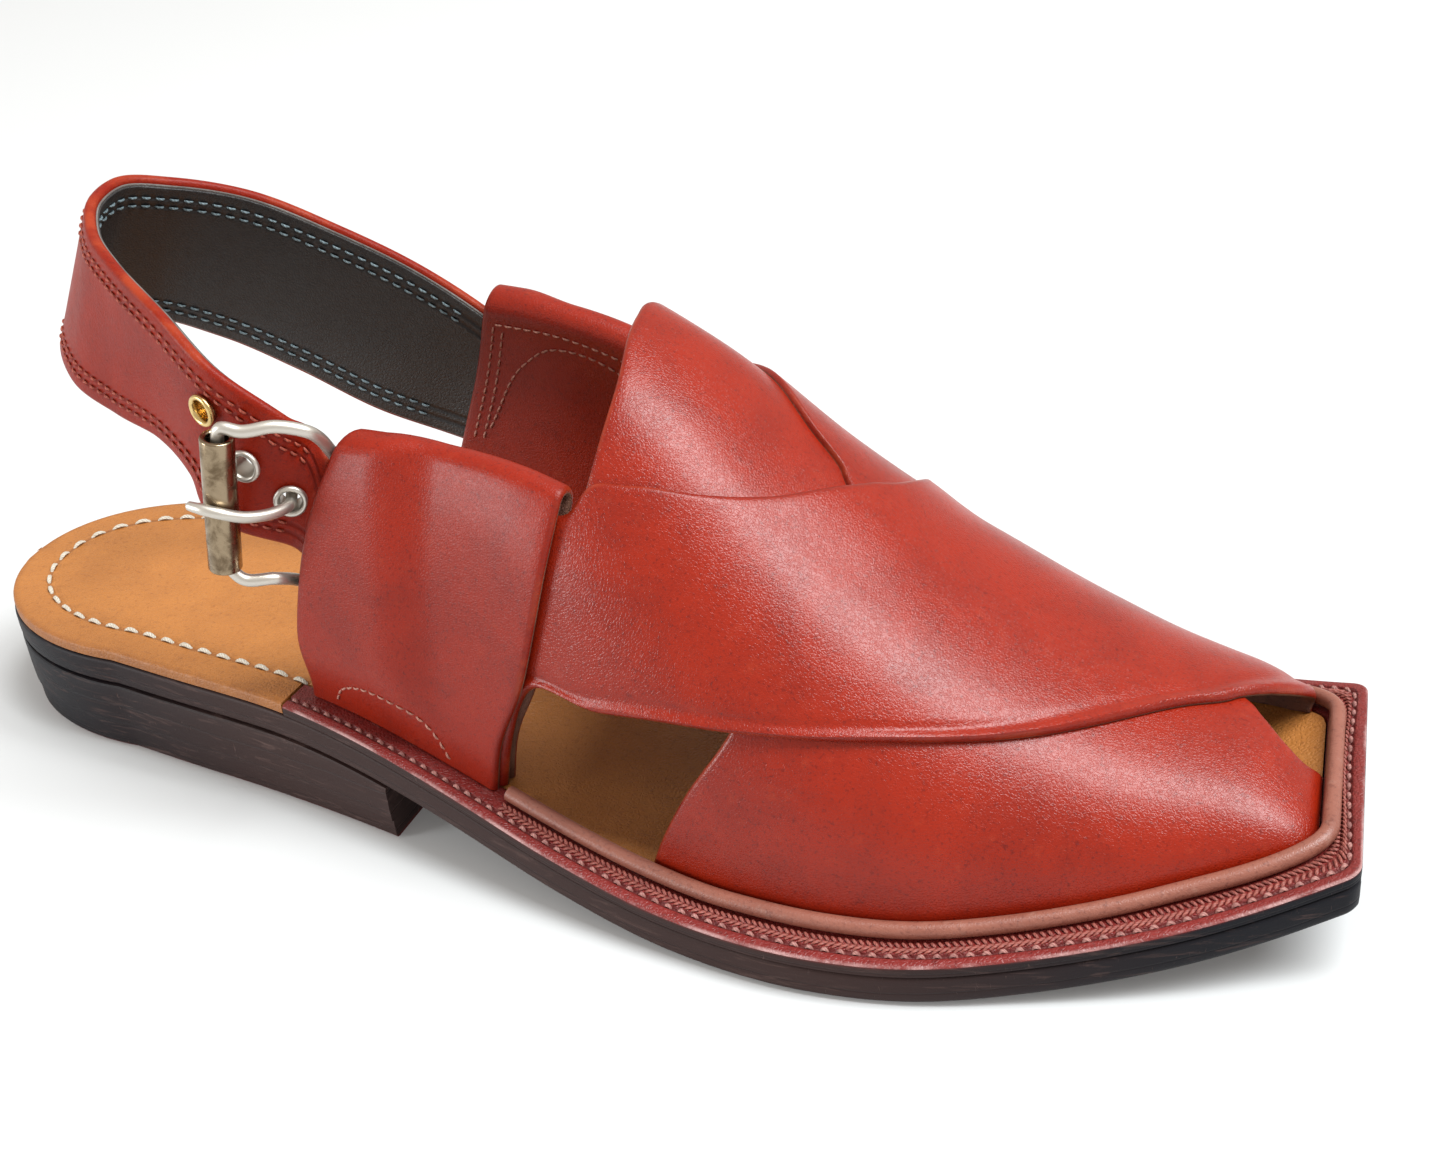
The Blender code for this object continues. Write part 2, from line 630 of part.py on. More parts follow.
def tucked_row(middle, upper, lower, off):
    """A row of the heel strap that follows the last inside a loop."""
    m, u, d = (on_last(x, girth, off) for x, girth in (middle, upper, lower))
    chord = (u + d) / 2
    width = np.linalg.norm(u - d)
    return m - 0.3 * (m - chord), (u - d) / width, width, np.linalg.norm(m - chord)


def strap_rows():
    """Middles, upward directions, widths and bows of the heel strap's rows."""
    open_rows = np.array(HEEL_STRAP_ROWS, float)
    front = [tucked_row(*row) for row in TUCKED_OUTER]
    back = [tucked_row(*row) for row in TUCKED_INNER]
    middles = np.array([r[0] for r in front] + list(open_rows[:, :3]) + [r[0] for r in back])
    along = np.gradient(middles, axis=0)
    along /= np.linalg.norm(along, axis=1, keepdims=True)
    up = np.array([0.0, 0.0, 1.0]) - along * along[:, 2:3]
    up /= np.linalg.norm(up, axis=1, keepdims=True)
    inward = np.cross(along, up)
    first, last = len(front), len(front) + len(open_rows)
    lean = np.radians(open_rows[:, 3:4])
    up[first:last] = up[first:last] * np.cos(lean) + inward[first:last] * np.sin(lean)
    up[:first] = [r[1] for r in front]
    up[last:] = [r[1] for r in back]
    widths = np.array([r[2] for r in front] + list(open_rows[:, 4]) + [r[2] for r in back])
    bows = np.array([r[3] for r in front] + list(open_rows[:, 5]) + [r[3] for r in back])
    return np.column_stack([middles, up, widths, bows])


def strap_frames(count):
    """Middle points, upward and outward directions, widths and bows along the heel strap."""
    rows = strap_rows()
    steps = np.concatenate([[0.0], np.cumsum(np.linalg.norm(np.diff(rows[:, :3], axis=0), axis=1))])
    even = np.linspace(0.0, steps[-1], count)
    table = np.stack([through(even, steps, rows[:, k]) for k in range(rows.shape[1])], 1)
    middle, up, width, bow = table[:, :3], table[:, 3:6], table[:, 6], table[:, 7]
    along = np.gradient(middle, axis=0)
    along /= np.linalg.norm(along, axis=1, keepdims=True)
    up /= np.linalg.norm(up, axis=1, keepdims=True)
    outward = -np.cross(along, up)
    outward /= np.linalg.norm(outward, axis=1, keepdims=True)
    return even, middle, up, outward, width, bow


def strap_place(distance, rise, off):
    """A point of the heel strap's own space: along it, up its face and out from its middle."""
    even, middle, up, outward, width, bow = strap_frames(200)
    pick = [np.interp(distance, even, part[:, k]) for part in (middle, up, outward) for k in range(3)]
    m, u, o = np.array(pick[:3]), np.array(pick[3:6]), np.array(pick[6:])
    w, b = np.interp(distance, even, width), np.interp(distance, even, bow)
    return m + u * rise + o * (off + b * (0.3 - 4 * (rise / w) ** 2))


def strap_spot(x, z):
    """Distance along the heel strap's outer half and height on its face of a point at (x, z)."""
    even, middle, up, _, _, _ = strap_frames(200)
    best = None
    for distance, m, u in zip(even[:90], middle, up):
        for rise in np.linspace(-10.0, 10.0, 41):
            spot = m + u * rise
            miss = math.hypot(spot[0] - x, spot[2] - z)
            if best is None or miss < best[0]:
                best = (miss, distance, rise)
    return best[1], best[2]


def build_heel_strap(surface, holes):
    """The strap round the heel, with a hole for each eyelet."""
    _, middle, up, outward, width, bow = strap_frames(52)
    half = STRAP_THICK / 2
    ring_rows = [(-0.5, -0.7), (-0.5, 0.7), (-0.47, 1.0), (-0.16, 1.0), (0.16, 1.0), (0.47, 1.0),
                 (0.5, 0.7), (0.5, -0.7), (0.47, -1.0), (0.16, -1.0), (-0.16, -1.0), (-0.47, -1.0)]
    sections = []
    for m, u, o, w, b in zip(middle, up, outward, width, bow):
        sections.append([m + u * rise * w + o * (off * half + b * (0.3 - 4 * rise**2)) for rise, off in ring_rows])
    strap = loft("heel_strap", sections, surface)
    for distance, rise in holes:
        start = strap_place(distance, rise, -6.0)
        end = strap_place(distance, rise, 6.0)
        drill = tube("drill", np.linspace(start, end, 3), EYELET_BARREL + 0.15, surface, 20)
        cut(strap, drill)
    return strap


def build_eyelet(name, distance, rise, surface):
    """A metal eyelet: a barrel through the strap with a flange on each face."""
    turn = np.arange(20) * 2 * math.pi / 20
    centre = strap_place(distance, rise, 0.0)
    out = strap_place(distance, rise, 1.0) - centre
    u = strap_place(distance, rise + 1.0, 0.0) - centre
    v = np.cross(out, u)
    face = STRAP_THICK / 2 + 0.95
    rows = [(EYELET_BORE, -face - 0.5), (EYELET_BORE, face + 0.7), (EYELET_BARREL + 0.2, face + 1.1),
            (EYELET_FLANGE - 0.4, face + 1.0), (EYELET_FLANGE, face + 0.5), (EYELET_BARREL, face + 0.2),
            (EYELET_BARREL, -face - 0.2), (EYELET_FLANGE, -face - 0.3), (EYELET_FLANGE - 0.4, -face - 0.6)]
    sections = [[centre + r * (math.cos(t) * u + math.sin(t) * v) + out * o for r, o in rows] for t in turn]
    return loft(name, sections, surface, closed=True)


def rounded(points, count, closed=False):
    """Even points on a smooth path through points in space."""
    points = np.asarray(points, float)
    if closed:
        points = np.concatenate([points[-2:], points, points[:3]])
    steps = np.concatenate([[0.0], np.cumsum(np.linalg.norm(np.diff(points, axis=0), axis=1))])
    start, end = (steps[2], steps[-3]) if closed else (0.0, steps[-1])
    even = np.linspace(start, end, count + 1 if closed else count)
    path = np.stack([through(even, steps, points[:, k]) for k in range(3)], 1)
    return path[:-1] if closed else path


def build_buckle(surface):
    """Wire frame with its bar inside the outer loop, a roller and a prong."""
    low, high = (np.array(end) for end in ROLLER_ENDS)
    bar = [on_last(x, girth, off) for x, girth, off in WIRE_BAR]
    straight = [low + (high - low) * share for share in (0.05, 0.5, 0.95)]
    path = rounded([*bar, *WIRE_BOTTOM, *straight, *WIRE_TOP], 64, closed=True)
    tube("buckle_frame", path, WIRE_RADIUS, surface, 10, closed=True)

    axis = (high - low) / np.linalg.norm(high - low)
    u = np.cross(axis, [0.0, 1.0, 0.0])
    u /= np.linalg.norm(u)
    v = np.cross(axis, u)
    turn = np.arange(24) * 2 * math.pi / 24
    length = np.linalg.norm(high - low)
    rows = [(ROLLER_BORE, 0.0), (ROLLER_RADIUS - 0.3, 0.0), (ROLLER_RADIUS, 0.3),
            (ROLLER_RADIUS, length - 0.3), (ROLLER_RADIUS - 0.3, length), (ROLLER_BORE, length)]
    sections = [[low + axis * a + r * (math.cos(t) * u + math.sin(t) * v) for r, a in rows] for t in turn]
    loft("buckle_roller", sections, surface, closed=True)

    distance, rise = strap_spot(*EYELETS[0])
    start = [on_last(104.8, -0.66, 1.2), on_last(102.8, -0.645, -0.1)]
    through_hole = [strap_place(distance, rise, off) for off in (-3.4, 0.0, 2.6)]
    path = rounded([*start, *through_hole, *PRONG_PATH], 30)
    tube("buckle_prong", path, PRONG_RADIUS, surface, 10)


def main():
    """Build every piece."""
    for thing in list(bpy.data.objects):
        bpy.data.objects.remove(thing, do_unlink=True)
    edge = material("sole_edge", (0.02, 0.022, 0.03), 0.5)
    red = material("red_leather", (0.45, 0.045, 0.02), 0.35)
    dark_red = material("welt_leather", (0.22, 0.025, 0.025), 0.5)
    tan = material("tan_leather", (0.55, 0.27, 0.08), 0.55)
    cord = material("piping_leather", (0.26, 0.10, 0.07), 0.45)
    brass = material("brass", (0.75, 0.55, 0.25), 0.3, 1.0)
    nickel = material("nickel", (0.62, 0.58, 0.52), 0.3, 1.0)

    build_outsole(edge)
    build_heel(edge)
    build_insole(tan)
    build_welt(dark_red)
    build_piping(cord)
    build_upper(red)
    build_loop("outer_loop", -1, (LOOP_BACK, LOOP_FRONT), lay_off_top, 3.6, red)
    build_loop("inner_loop", 1, (INNER_LOOP_BACK, INNER_LOOP_FRONT), lay_off_under, 1.8, red)

    holes = [strap_spot(x, z) for x, z in EYELETS]
    build_heel_strap(red, holes)
    for k, (distance, rise) in enumerate(holes):
        build_eyelet(f"eyelet_{k + 1}", distance, rise, brass if k == 2 else nickel)
    build_buckle(nickel)


if __name__ == "__main__":
    main()
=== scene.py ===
import math

import bpy
import numpy as np
from bpy.props import FloatProperty, FloatVectorProperty, PointerProperty
from bpy.types import Operator, Panel, PropertyGroup
from mathutils import Matrix, Vector


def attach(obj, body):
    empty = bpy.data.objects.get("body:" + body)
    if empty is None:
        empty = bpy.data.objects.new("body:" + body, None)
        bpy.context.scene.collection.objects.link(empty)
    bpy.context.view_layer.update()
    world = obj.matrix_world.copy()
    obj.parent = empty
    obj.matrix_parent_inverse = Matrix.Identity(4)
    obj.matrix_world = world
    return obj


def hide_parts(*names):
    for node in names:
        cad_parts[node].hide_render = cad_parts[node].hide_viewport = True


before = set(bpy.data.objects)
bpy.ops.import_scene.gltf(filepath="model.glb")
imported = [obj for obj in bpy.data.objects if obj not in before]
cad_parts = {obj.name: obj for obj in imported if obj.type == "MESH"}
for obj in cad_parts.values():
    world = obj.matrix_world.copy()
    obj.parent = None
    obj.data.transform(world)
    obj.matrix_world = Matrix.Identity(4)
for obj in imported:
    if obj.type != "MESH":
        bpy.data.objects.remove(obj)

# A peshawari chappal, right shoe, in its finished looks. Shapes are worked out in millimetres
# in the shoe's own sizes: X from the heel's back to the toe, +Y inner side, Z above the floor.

bl_info = {
    "name": "Peshawari chappal",
    "version": (1, 0, 0),
    "blender": (4, 5, 0),
    "location": "3D View > Sidebar > Chappal",
    "description": "Builds the crossed strap shoe and its studio",
    "category": "Object",
}

MM = 0.001
GAP = 0.3

# Sole
SHOE_LENGTH = 290.0
SEAT_HEIGHT = 24.4
BALL_HEIGHT = 8.3
SOLE_STACK = 8.3
TOP_LAYER = 2.2
SHANK_START = 82.0
SHANK_END = 190.0
SPRING_START = 213.4
TOE_SPRING = 13.2
HEEL_ROUND = 44.0
HEEL_MIDDLE = 4.2
TOE_SKEW = 0.089
TOE_CORNER_Y = -28.2
TOE_CORNER = 2.2
WELT_START = 91.0
SEAT_SEAM = 8.2
SEAT_SEAM_START = 96.0
HEEL_BREAST = 114.5
WELT_SEAM = 2.75
WELT_RIM = 3.3
WELT_SPLIT = 258.0
BRAID_PITCH = 1.2

# Upper
WALL = 2.0
STRAP_RISE = 1.5
LAP_RISE = 1.2
TOE_END = 281.0
TOE_WRAP = 262.0
ROUND_START = 266.0
TOE_GIRTH = 30.0
GIRTH_SCALE = 60.0
CORD_RADIUS = 1.5
CORD_START = 141.0

# Heel strap and buckle
STRAP_THICK = 2.6
WIRE_RADIUS = 1.2
ROLLER_RADIUS = 3.1
ROLLER_BORE = 2.1
PRONG_RADIUS = 1.1
EYELET_BORE = 2.0
EYELET_OUTSIDE = 2.3
EYELET_FLANGE = 3.2
EYELET_HOLE = 2.35

# Outline of the sole at its top edge, past the round of the heel
SOLE_ROWS = [
    # station, outer side, inner side
    (44, -28.4, 34.8),
    (60, -30.9, 34.9),
    (80, -33.8, 34.2),
    (105, -38.4, 33.6),
    (130, -44.2, 34.4),
    (155, -50.8, 37.4),
    (180, -56.0, 42.0),
    (205, -58.2, 46.0),
    (222, -56.0, 46.2),
    (240, -50.4, 43.0),
    (265, -40.5, 34.8),
    (290, -28.2, 26.0),
]

# The last that the straps are pulled over, given for the inside of their leather
LAST_ROWS = [
    # station, outer foot line, inner foot line, ridge, ridge height, outer fullness, inner fullness
    (90, -25.5, 27.0, 6.0, 96.0, 2.1, 3.6),
    (110, -29.0, 26.5, 6.0, 97.5, 2.1, 3.6),
    (130, -33.5, 26.5, 5.8, 97.5, 2.15, 3.2),
    (150, -38.5, 28.5, 5.0, 94.5, 2.2, 2.6),
    (170, -43.0, 32.0, 4.2, 84.5, 2.2, 2.3),
    (190, -46.3, 35.5, 3.4, 67.5, 2.2, 2.2),
    (205, -47.0, 37.0, 2.7, 56.3, 2.2, 2.2),
    (220, -45.2, 37.0, 2.0, 46.8, 2.25, 2.25),
    (235, -40.5, 34.5, 1.4, 38.6, 2.25, 2.25),
    (250, -34.5, 30.0, 1.0, 32.4, 2.3, 2.3),
    (262, -29.0, 26.0, 1.4, 29.4, 2.3, 2.3),
    (281, -21.0, 18.5, 2.0, 26.0, 2.4, 2.4),
]

# Edges of the straps, as (station, girth) on the last: girth is -1 at the outer
# foot line, 0 on the ridge and +1 at the inner foot line
TOP_STRAP_FRONT = [(140, -1.0), (143, -0.92), (148, -0.83), (165, -0.78), (188, -0.68),
                   (211, -0.555), (236, -0.375), (257, -0.10), (266.5, 0.01), (272, 0.14),
                   (276.5, 0.36), (278.8, 0.66), (279.2, 1.0)]
TOP_STRAP_BACK = [(121, -1.0), (121, -0.75), (125, -0.56), (140, -0.535), (151, -0.52),
                  (156.5, -0.50), (160, -0.43), (166, -0.39), (177, -0.31), (186, -0.20),
                  (194, -0.06), (200, 0.07), (202, 0.25), (198, 0.48), (189, 0.69), (180, 0.85),
                  (172, 1.0)]
UNDER_STRAP_FRONT = [(281, -0.08), (278.4, -0.15), (275.3, -0.10), (271.3, -0.02), (266.9, 0.05),
                     (257, 0.14), (236, 0.36), (211, 0.56), (188, 0.69), (165, 0.78),
                     (148, 0.84), (140, 1.0)]
UNDER_STRAP_BACK = [(172, -1.0), (180, -0.85), (187.5, -0.70), (193, -0.50), (198, -0.30),
                    (200, -0.12), (193, 0.0), (185, 0.07), (177.4, 0.19), (170, 0.33),
                    (162, 0.43), (157.5, 0.50), (152, 0.555), (137, 0.57), (125, 0.59),
                    (121, 0.75), (121, 1.0)]
UNDER_STRAP_TOE = [(281, -0.08), (281, -0.6), (281, -1.0), (262, -1.0), (215, -1.0), (172, -1.0)]
TONGUE_BACK = [(158.5, -0.50), (159.5, -0.36), (159.5, -0.21), (157, -0.04), (155.7, 0.07),
               (156, 0.22), (157.5, 0.36), (159, 0.47)]
TONGUE_FRONT = [(206, -0.46), (207, -0.25), (207, -0.04)]
TONGUE_OUTER = [(158.5, -0.50), (182, -0.50), (206, -0.46)]
TONGUE_INNER = [(159, 0.47), (172, 0.41), (184, 0.27), (196, 0.11), (207, -0.04)]

# Side loops, from the foot line up to the fold, for the outer side
LOOP_BACK = [(95.5, -1.0), (99.4, -0.81), (102.5, -0.70), (111.7, -0.49)]
LOOP_FRONT = [(139.5, -1.0), (141.5, -0.94), (149, -0.81), (155, -0.57), (156.5, -0.455)]
INNER_LOOP_BACK = [(95.5, -1.0), (99.5, -0.93), (106, -0.785), (112.8, -0.52)]
INNER_LOOP_FRONT = [(139.5, -1.0), (141.5, -0.94), (148, -0.81), (153, -0.62), (155, -0.50)]

# Heel strap between the loops
HEEL_STRAP_ROWS = [
    # x, y, z, lean in degrees, width, bow of its section
    (92.5, -30.1, 73.0, 0, 28.5, 0.5),
    (84.0, -28.7, 80.5, 0, 29.5, 0.0),
    (72.0, -23.5, 87.0, 0, 31.5, 0.0),
    (58.5, -17.5, 90.5, 6, 33.5, 0.0),
    (46.5, -10.5, 93.5, 16, 35.0, 0.0),
    (40.0, -2.0, 96.5, 26, 36.0, 0.0),
    (39.0, 7.0, 97.0, 28, 36.0, 0.0),
    (44.5, 16.5, 94.0, 21, 36.0, 0.0),
    (57.0, 23.5, 88.5, 8, 36.0, 0.0),
    (73.0, 27.5, 80.5, 2, 36.0, 0.3),
    (90.0, 30.0, 71.5, 0, 36.0, 0.6),
]

# Where the heel strap lies inside the loops: middle, upper and lower edge, height off the last
TUCKED_OUTER = [((110.0, -0.700), (114.0, -0.650), (105.5, -0.745), 4.1),
                ((105.3, -0.670), (109.6, -0.605), (101.0, -0.745), 4.1),
                ((100.8, -0.625), (104.8, -0.530), (96.5, -0.735), 4.1)]
TUCKED_INNER = [((104.0, 0.765), (111.8, 0.59), (96.2, 0.897), 1.6),
                ((112.0, 0.80), (119.0, 0.65), (105.0, 0.905), 1.6)]

# The roller's ends, and the eyelets as (x, z) on the heel strap
ROLLER_ENDS = [(88.4, -38.2, 56.6), (93.8, -38.2, 83.9)]
EYELETS = [(97.6, 66.4), (92.9, 74.6), (86.9, 84.9)]

# The buckle's wire outside the loop, past the top and the bottom of the roller
WIRE_TOP = [(94.9, -38.2, 85.6), (98.4, -37.2, 84.9), (103.8, -34.2, 84.9), (107.6, -31.6, 83.2)]
WIRE_BOTTOM = [(96.0, -34.6, 53.0), (91.2, -37.6, 54.0)]
WIRE_BAR = [(109.2, -0.555, 3.2), (111.0, -0.567, 2.5), (109.8, -0.61, 1.3), (107.5, -0.69, 1.2),
            (105.2, -0.745, 1.2), (103.6, -0.785, 1.5), (100.8, -0.79, 2.8), (98.2, -0.785, 4.2)]
PRONG_PATH = [(95.8, -39.4, 68.6), (93.4, -41.9, 70.4), (90.5, -42.7, 71.3), (86.9, -42.4, 71.6)]

# The camera, in metres of the frame, and its lens
CAMERA_PLACE = (0.1568, -0.276294, 0.2284)
CAMERA_AIM = (0.003592, 0.052981, 0.012)
CAMERA_RIGHT = (0.924, 0.371, -0.090)
FOCAL_PIXELS = 1934.76
PICTURE_PIXELS = 1445
SENSOR = 36.0

# The two lights: name, place, aim, width and height, power
LIGHTS = (("overhead", (1.16, 0.12, 2.05), (0.02, 0.0, 0.03), (0.85, 1.9), 97.0),
          ("side", (-1.75, -1.35, 0.55), (0.0, 0.0, 0.05), (0.75, 0.7), 30.0))


def smooth(t):
    """An S-shaped step from 0 to 1."""
    t = np.clip(t, 0.0, 1.0)
    return t * t * (3.0 - 2.0 * t)


def through(x, xs, ys):
    """A smooth curve y(x) through a table's points."""
    xs = np.asarray(xs, float)
    ys = np.asarray(ys, float)
    x = np.asarray(x, float)
    slope = np.gradient(ys, xs)
    i = np.clip(np.searchsorted(xs, x) - 1, 0, len(xs) - 2)
    h = xs[i + 1] - xs[i]
    t = np.clip((x - xs[i]) / h, 0.0, 1.0)
    keep = (2 * t**3 - 3 * t**2 + 1) * ys[i] + (3 * t**2 - 2 * t**3) * ys[i + 1]
    turn = (t**3 - 2 * t**2 + t) * h * slope[i] + (t**3 - t**2) * h * slope[i + 1]
    return keep + turn


def column(rows, k):
    """One column of a table."""
    return [row[k] for row in rows]


def unit(vectors):
    """Directions of length 1."""
    return vectors / np.linalg.norm(vectors, axis=-1, keepdims=True)


def running(points):
    """Length along a row of points, from 0."""
    return np.concatenate([[0.0], np.cumsum(np.linalg.norm(np.diff(points, axis=0), axis=1))])


def read_off(where, run, rows, curve=np.interp):
    """Rows of values at the lengths where, between rows that lie at the lengths run."""
    return np.stack([curve(where, run, values) for values in rows.T], -1)


def top_height(x):
    """Height of the top of the welt and the insole along the shoe."""
    x = np.asarray(x, float)
    shank = smooth((x - SHANK_START) / (SHANK_END - SHANK_START))
    spring = np.clip((x - SPRING_START) / (SHOE_LENGTH - SPRING_START), 0.0, 1.2)
    return SEAT_HEIGHT + (BALL_HEIGHT - SEAT_HEIGHT) * shank + TOE_SPRING * spring**2


def skewed(points):
    """Set the square toe slightly back on its inner side."""
    points = np.array(points, float)
    pull = smooth((points[..., 0] - 240.0) / 50.0)
    points[..., 0] -= TOE_SKEW * (points[..., 1] - TOE_CORNER_Y) * pull
    return points


def side_of_sole(x, side):
    """Y of the sole's top edge at a station; side is -1 for outer and +1 for inner."""
    x = np.asarray(x, float)
    ys = column(SOLE_ROWS, 1 if side < 0 else 2)
    power = 2.05 if side < 0 else 2.25
    back = np.clip((HEEL_ROUND - x) / HEEL_ROUND, 0.0, 1.0)
    round_y = HEEL_MIDDLE + (ys[0] - HEEL_MIDDLE) * (1.0 - back**power) ** (1.0 / power)
    return np.where(x < HEEL_ROUND, round_y, through(x, column(SOLE_ROWS, 0), ys))


def inset_side(x, side, inset):
    """The sole's edge moved inwards by inset, read at the stations x."""
    fine = np.concatenate([np.linspace(0, 4, 17)[:-1], np.linspace(4, SHOE_LENGTH, 287)])
    y = side_of_sole(fine, side)
    tangent = unit(np.stack([np.gradient(fine), np.gradient(y)], 1))
    moved_x = fine + side * tangent[:, 1] * inset
    moved_y = y - side * tangent[:, 0] * inset
    return np.interp(x, moved_x, moved_y)


def toe_round(x, power):
    """1 before the round of the toe, and then down to 0 at the toe end of the last."""
    s = np.clip((x - ROUND_START) / (TOE_END - ROUND_START), 0.0, 1.0)
    return (1.0 - s**power) ** (1.0 / power)


def foot_line(x, side):
    """Y of the last at the insole."""
    y = through(x, column(LAST_ROWS, 0), column(LAST_ROWS, 1 if side < 0 else 2))
    return y * (0.80 + 0.20 * toe_round(x, 2.6))


def last_point(x, girth):
    """A point of the last's surface at a station and girth."""
    x = np.asarray(x, float)
    girth = np.asarray(girth, float)
    stations = column(LAST_ROWS, 0)
    ridge_y = through(x, stations, column(LAST_ROWS, 3))
    base = top_height(x)
    ridge = (through(x, stations, column(LAST_ROWS, 4)) - base) * toe_round(x, 2.2)
    outer = through(x, stations, column(LAST_ROWS, 5))
    inner = through(x, stations, column(LAST_ROWS, 6))
    fullness = np.where(girth < 0, outer, inner)
    angle = np.clip(girth, -1.0, 1.0) * math.pi / 2
    side = np.abs(np.sin(angle)) ** (2.0 / fullness)
    up = np.abs(np.cos(angle)) ** (2.0 / fullness)
    flare = 3.5 * (1.0 - smooth((x - 125.0) / 40.0)) * 2.0 * side * up
    left = ridge_y + (foot_line(x, -1) - ridge_y) * side
    right = ridge_y + (foot_line(x, 1) - ridge_y) * side + flare
    y = np.where(girth < 0, left, right)
    z = base + ridge * up
    return np.stack(np.broadcast_arrays(x, y, z), -1)


def wrap(x):
    """Station to length along the surface, which stretches the round of the toe."""
    x = np.asarray(x, float)
    s = np.clip((x - TOE_WRAP) / (TOE_END - TOE_WRAP), 0.0, 1.0)
    return np.where(x < TOE_WRAP, x, TOE_WRAP + TOE_GIRTH * np.arcsin(s) / (math.pi / 2))


def unwrap(w):
    """Length along the surface back to station."""
    w = np.asarray(w, float)
    s = np.sin(np.clip((w - TOE_WRAP) / TOE_GIRTH, 0.0, 1.0) * math.pi / 2)
    return np.where(w < TOE_WRAP, w, TOE_WRAP + (TOE_END - TOE_WRAP) * s)


def on_last(x, girth, off):
    """A point that stands off the last's surface by off."""
    w = np.clip(wrap(x), 0.0, TOE_WRAP + TOE_GIRTH - 0.5)
    g = np.clip(np.asarray(girth, float), -0.985, 0.985)
    w, g = np.broadcast_arrays(w, g)
    along = last_point(unwrap(w + 0.3), g) - last_point(unwrap(w - 0.3), g)
    across = last_point(unwrap(w), g + 0.004) - last_point(unwrap(w), g - 0.004)
    normal = unit(np.cross(along, across))
    off = np.broadcast_to(np.asarray(off, float), g.shape)
    return last_point(x, girth) + normal * off[..., None]


def seated(points):
    """Points whose lowest level is just over the insole."""
    points[..., 2] = np.maximum(points[..., 2], top_height(points[..., 0]) + GAP)
    return points


def lay_off_top(x, girth):
    """How far the top strap stands off the last."""
    foot = 1.0 - smooth((np.abs(girth) - 0.80) / 0.15)
    lap = LAP_RISE * smooth((girth + 0.25) / 0.2) * smooth((214.0 - x) / 14.0)
    return (STRAP_RISE + lap) * foot * smooth((x - 135.0) / 30.0)


def lay_off_under(x, girth):
    """The under strap lies on the last, but laps over the inner edge of the tongue."""
    near = smooth((girth + 0.25) / 0.2) * smooth((214.0 - x) / 14.0)
    away = (1.0 - smooth((girth - 0.75) / 0.2)) * smooth((x - 125.0) / 25.0)
    return LAP_RISE * near * away


def lay_off_tongue(x, girth):
    """The tongue lies on the last."""
    return 0.0 * x * girth


def centre_of_outline():
    """The middle of the sole's bounding rectangle, which becomes the origin."""
    fine = np.linspace(0, SHOE_LENGTH, 1161)
    low = side_of_sole(fine, -1).min()
    high = side_of_sole(fine, 1).max()
    return np.array([SHOE_LENGTH / 2, (low + high) / 2, 0.0])


def foot_outline(off, count=60):
    """The last's foot line moved outwards, as outer and inner Y over stations."""
    x = unwrap(np.linspace(80.0, TOE_WRAP + TOE_GIRTH, count))
    lines = []
    for side in (-1, 1):
        y = foot_line(x, side)
        tangent = unit(np.stack([np.gradient(x), np.gradient(y)], 1))
        lines.append((x - side * tangent[:, 1] * off, y + side * tangent[:, 0] * off))
    return lines


def tucked_row(middle, upper, lower, off):
    """A row of the heel strap that follows the last inside a loop."""
    m, u, d = (on_last(x, girth, off) for x, girth in (middle, upper, lower))
    chord = (u + d) / 2
    width = np.linalg.norm(u - d)
    return m - 0.3 * (m - chord), (u - d) / width, width, np.linalg.norm(m - chord)


def strap_rows():
    """Middles, upward directions, widths and bows of the heel strap's rows."""
    open_rows = np.array(HEEL_STRAP_ROWS, float)
    front = [tucked_row(*row) for row in TUCKED_OUTER]
    back = [tucked_row(*row) for row in TUCKED_INNER]
    middles = np.array([r[0] for r in front] + list(open_rows[:, :3]) + [r[0] for r in back])
    along = unit(np.gradient(middles, axis=0))
    up = unit(np.array([0.0, 0.0, 1.0]) - along * along[:, 2:3])
    inward = np.cross(along, up)
    first, last = len(front), len(front) + len(open_rows)
    lean = np.radians(open_rows[:, 3:4])
    up[first:last] = up[first:last] * np.cos(lean) + inward[first:last] * np.sin(lean)
    up[:first] = [r[1] for r in front]
    up[last:] = [r[1] for r in back]
    widths = np.array([r[2] for r in front] + list(open_rows[:, 4]) + [r[2] for r in back])
    bows = np.array([r[3] for r in front] + list(open_rows[:, 5]) + [r[3] for r in back])
    return np.column_stack([middles, up, widths, bows])


def strap_frames(count):
    """Middle points, upward and outward directions, widths and bows along the heel strap."""
    rows = strap_rows()
    steps = running(rows[:, :3])
    even = np.linspace(0.0, steps[-1], count)
    table = read_off(even, steps, rows, through)
    middle, up, width, bow = table[:, :3], unit(table[:, 3:6]), table[:, 6], table[:, 7]
    out = unit(-np.cross(unit(np.gradient(middle, axis=0)), up))
    return even, middle, up, out, width, bow


def strap_spot(x, z):
    """Distance along the heel strap's outer half and height on its face of a point at (x, z)."""
    even, middle, up, _, _, _ = strap_frames(200)
    best = None
    for distance, m, u in zip(even[:90], middle, up):
        for rise in np.linspace(-10.0, 10.0, 41):
            spot = m + u * rise
            miss = math.hypot(spot[0] - x, spot[2] - z)
            if best is None or miss < best[0]:
                best = (miss, distance, rise)
    return best[1], best[2]


def rounded(points, count, closed=False):
    """Even points on a smooth path through points in space."""
    points = np.asarray(points, float)
    if closed:
        points = np.concatenate([points[-2:], points, points[:3]])
    steps = running(points)
    start, end = (steps[2], steps[-3]) if closed else (0.0, steps[-1])
    even = np.linspace(start, end, count + 1 if closed else count)
    path = read_off(even, steps, points, through)
    return path[:-1] if closed else path


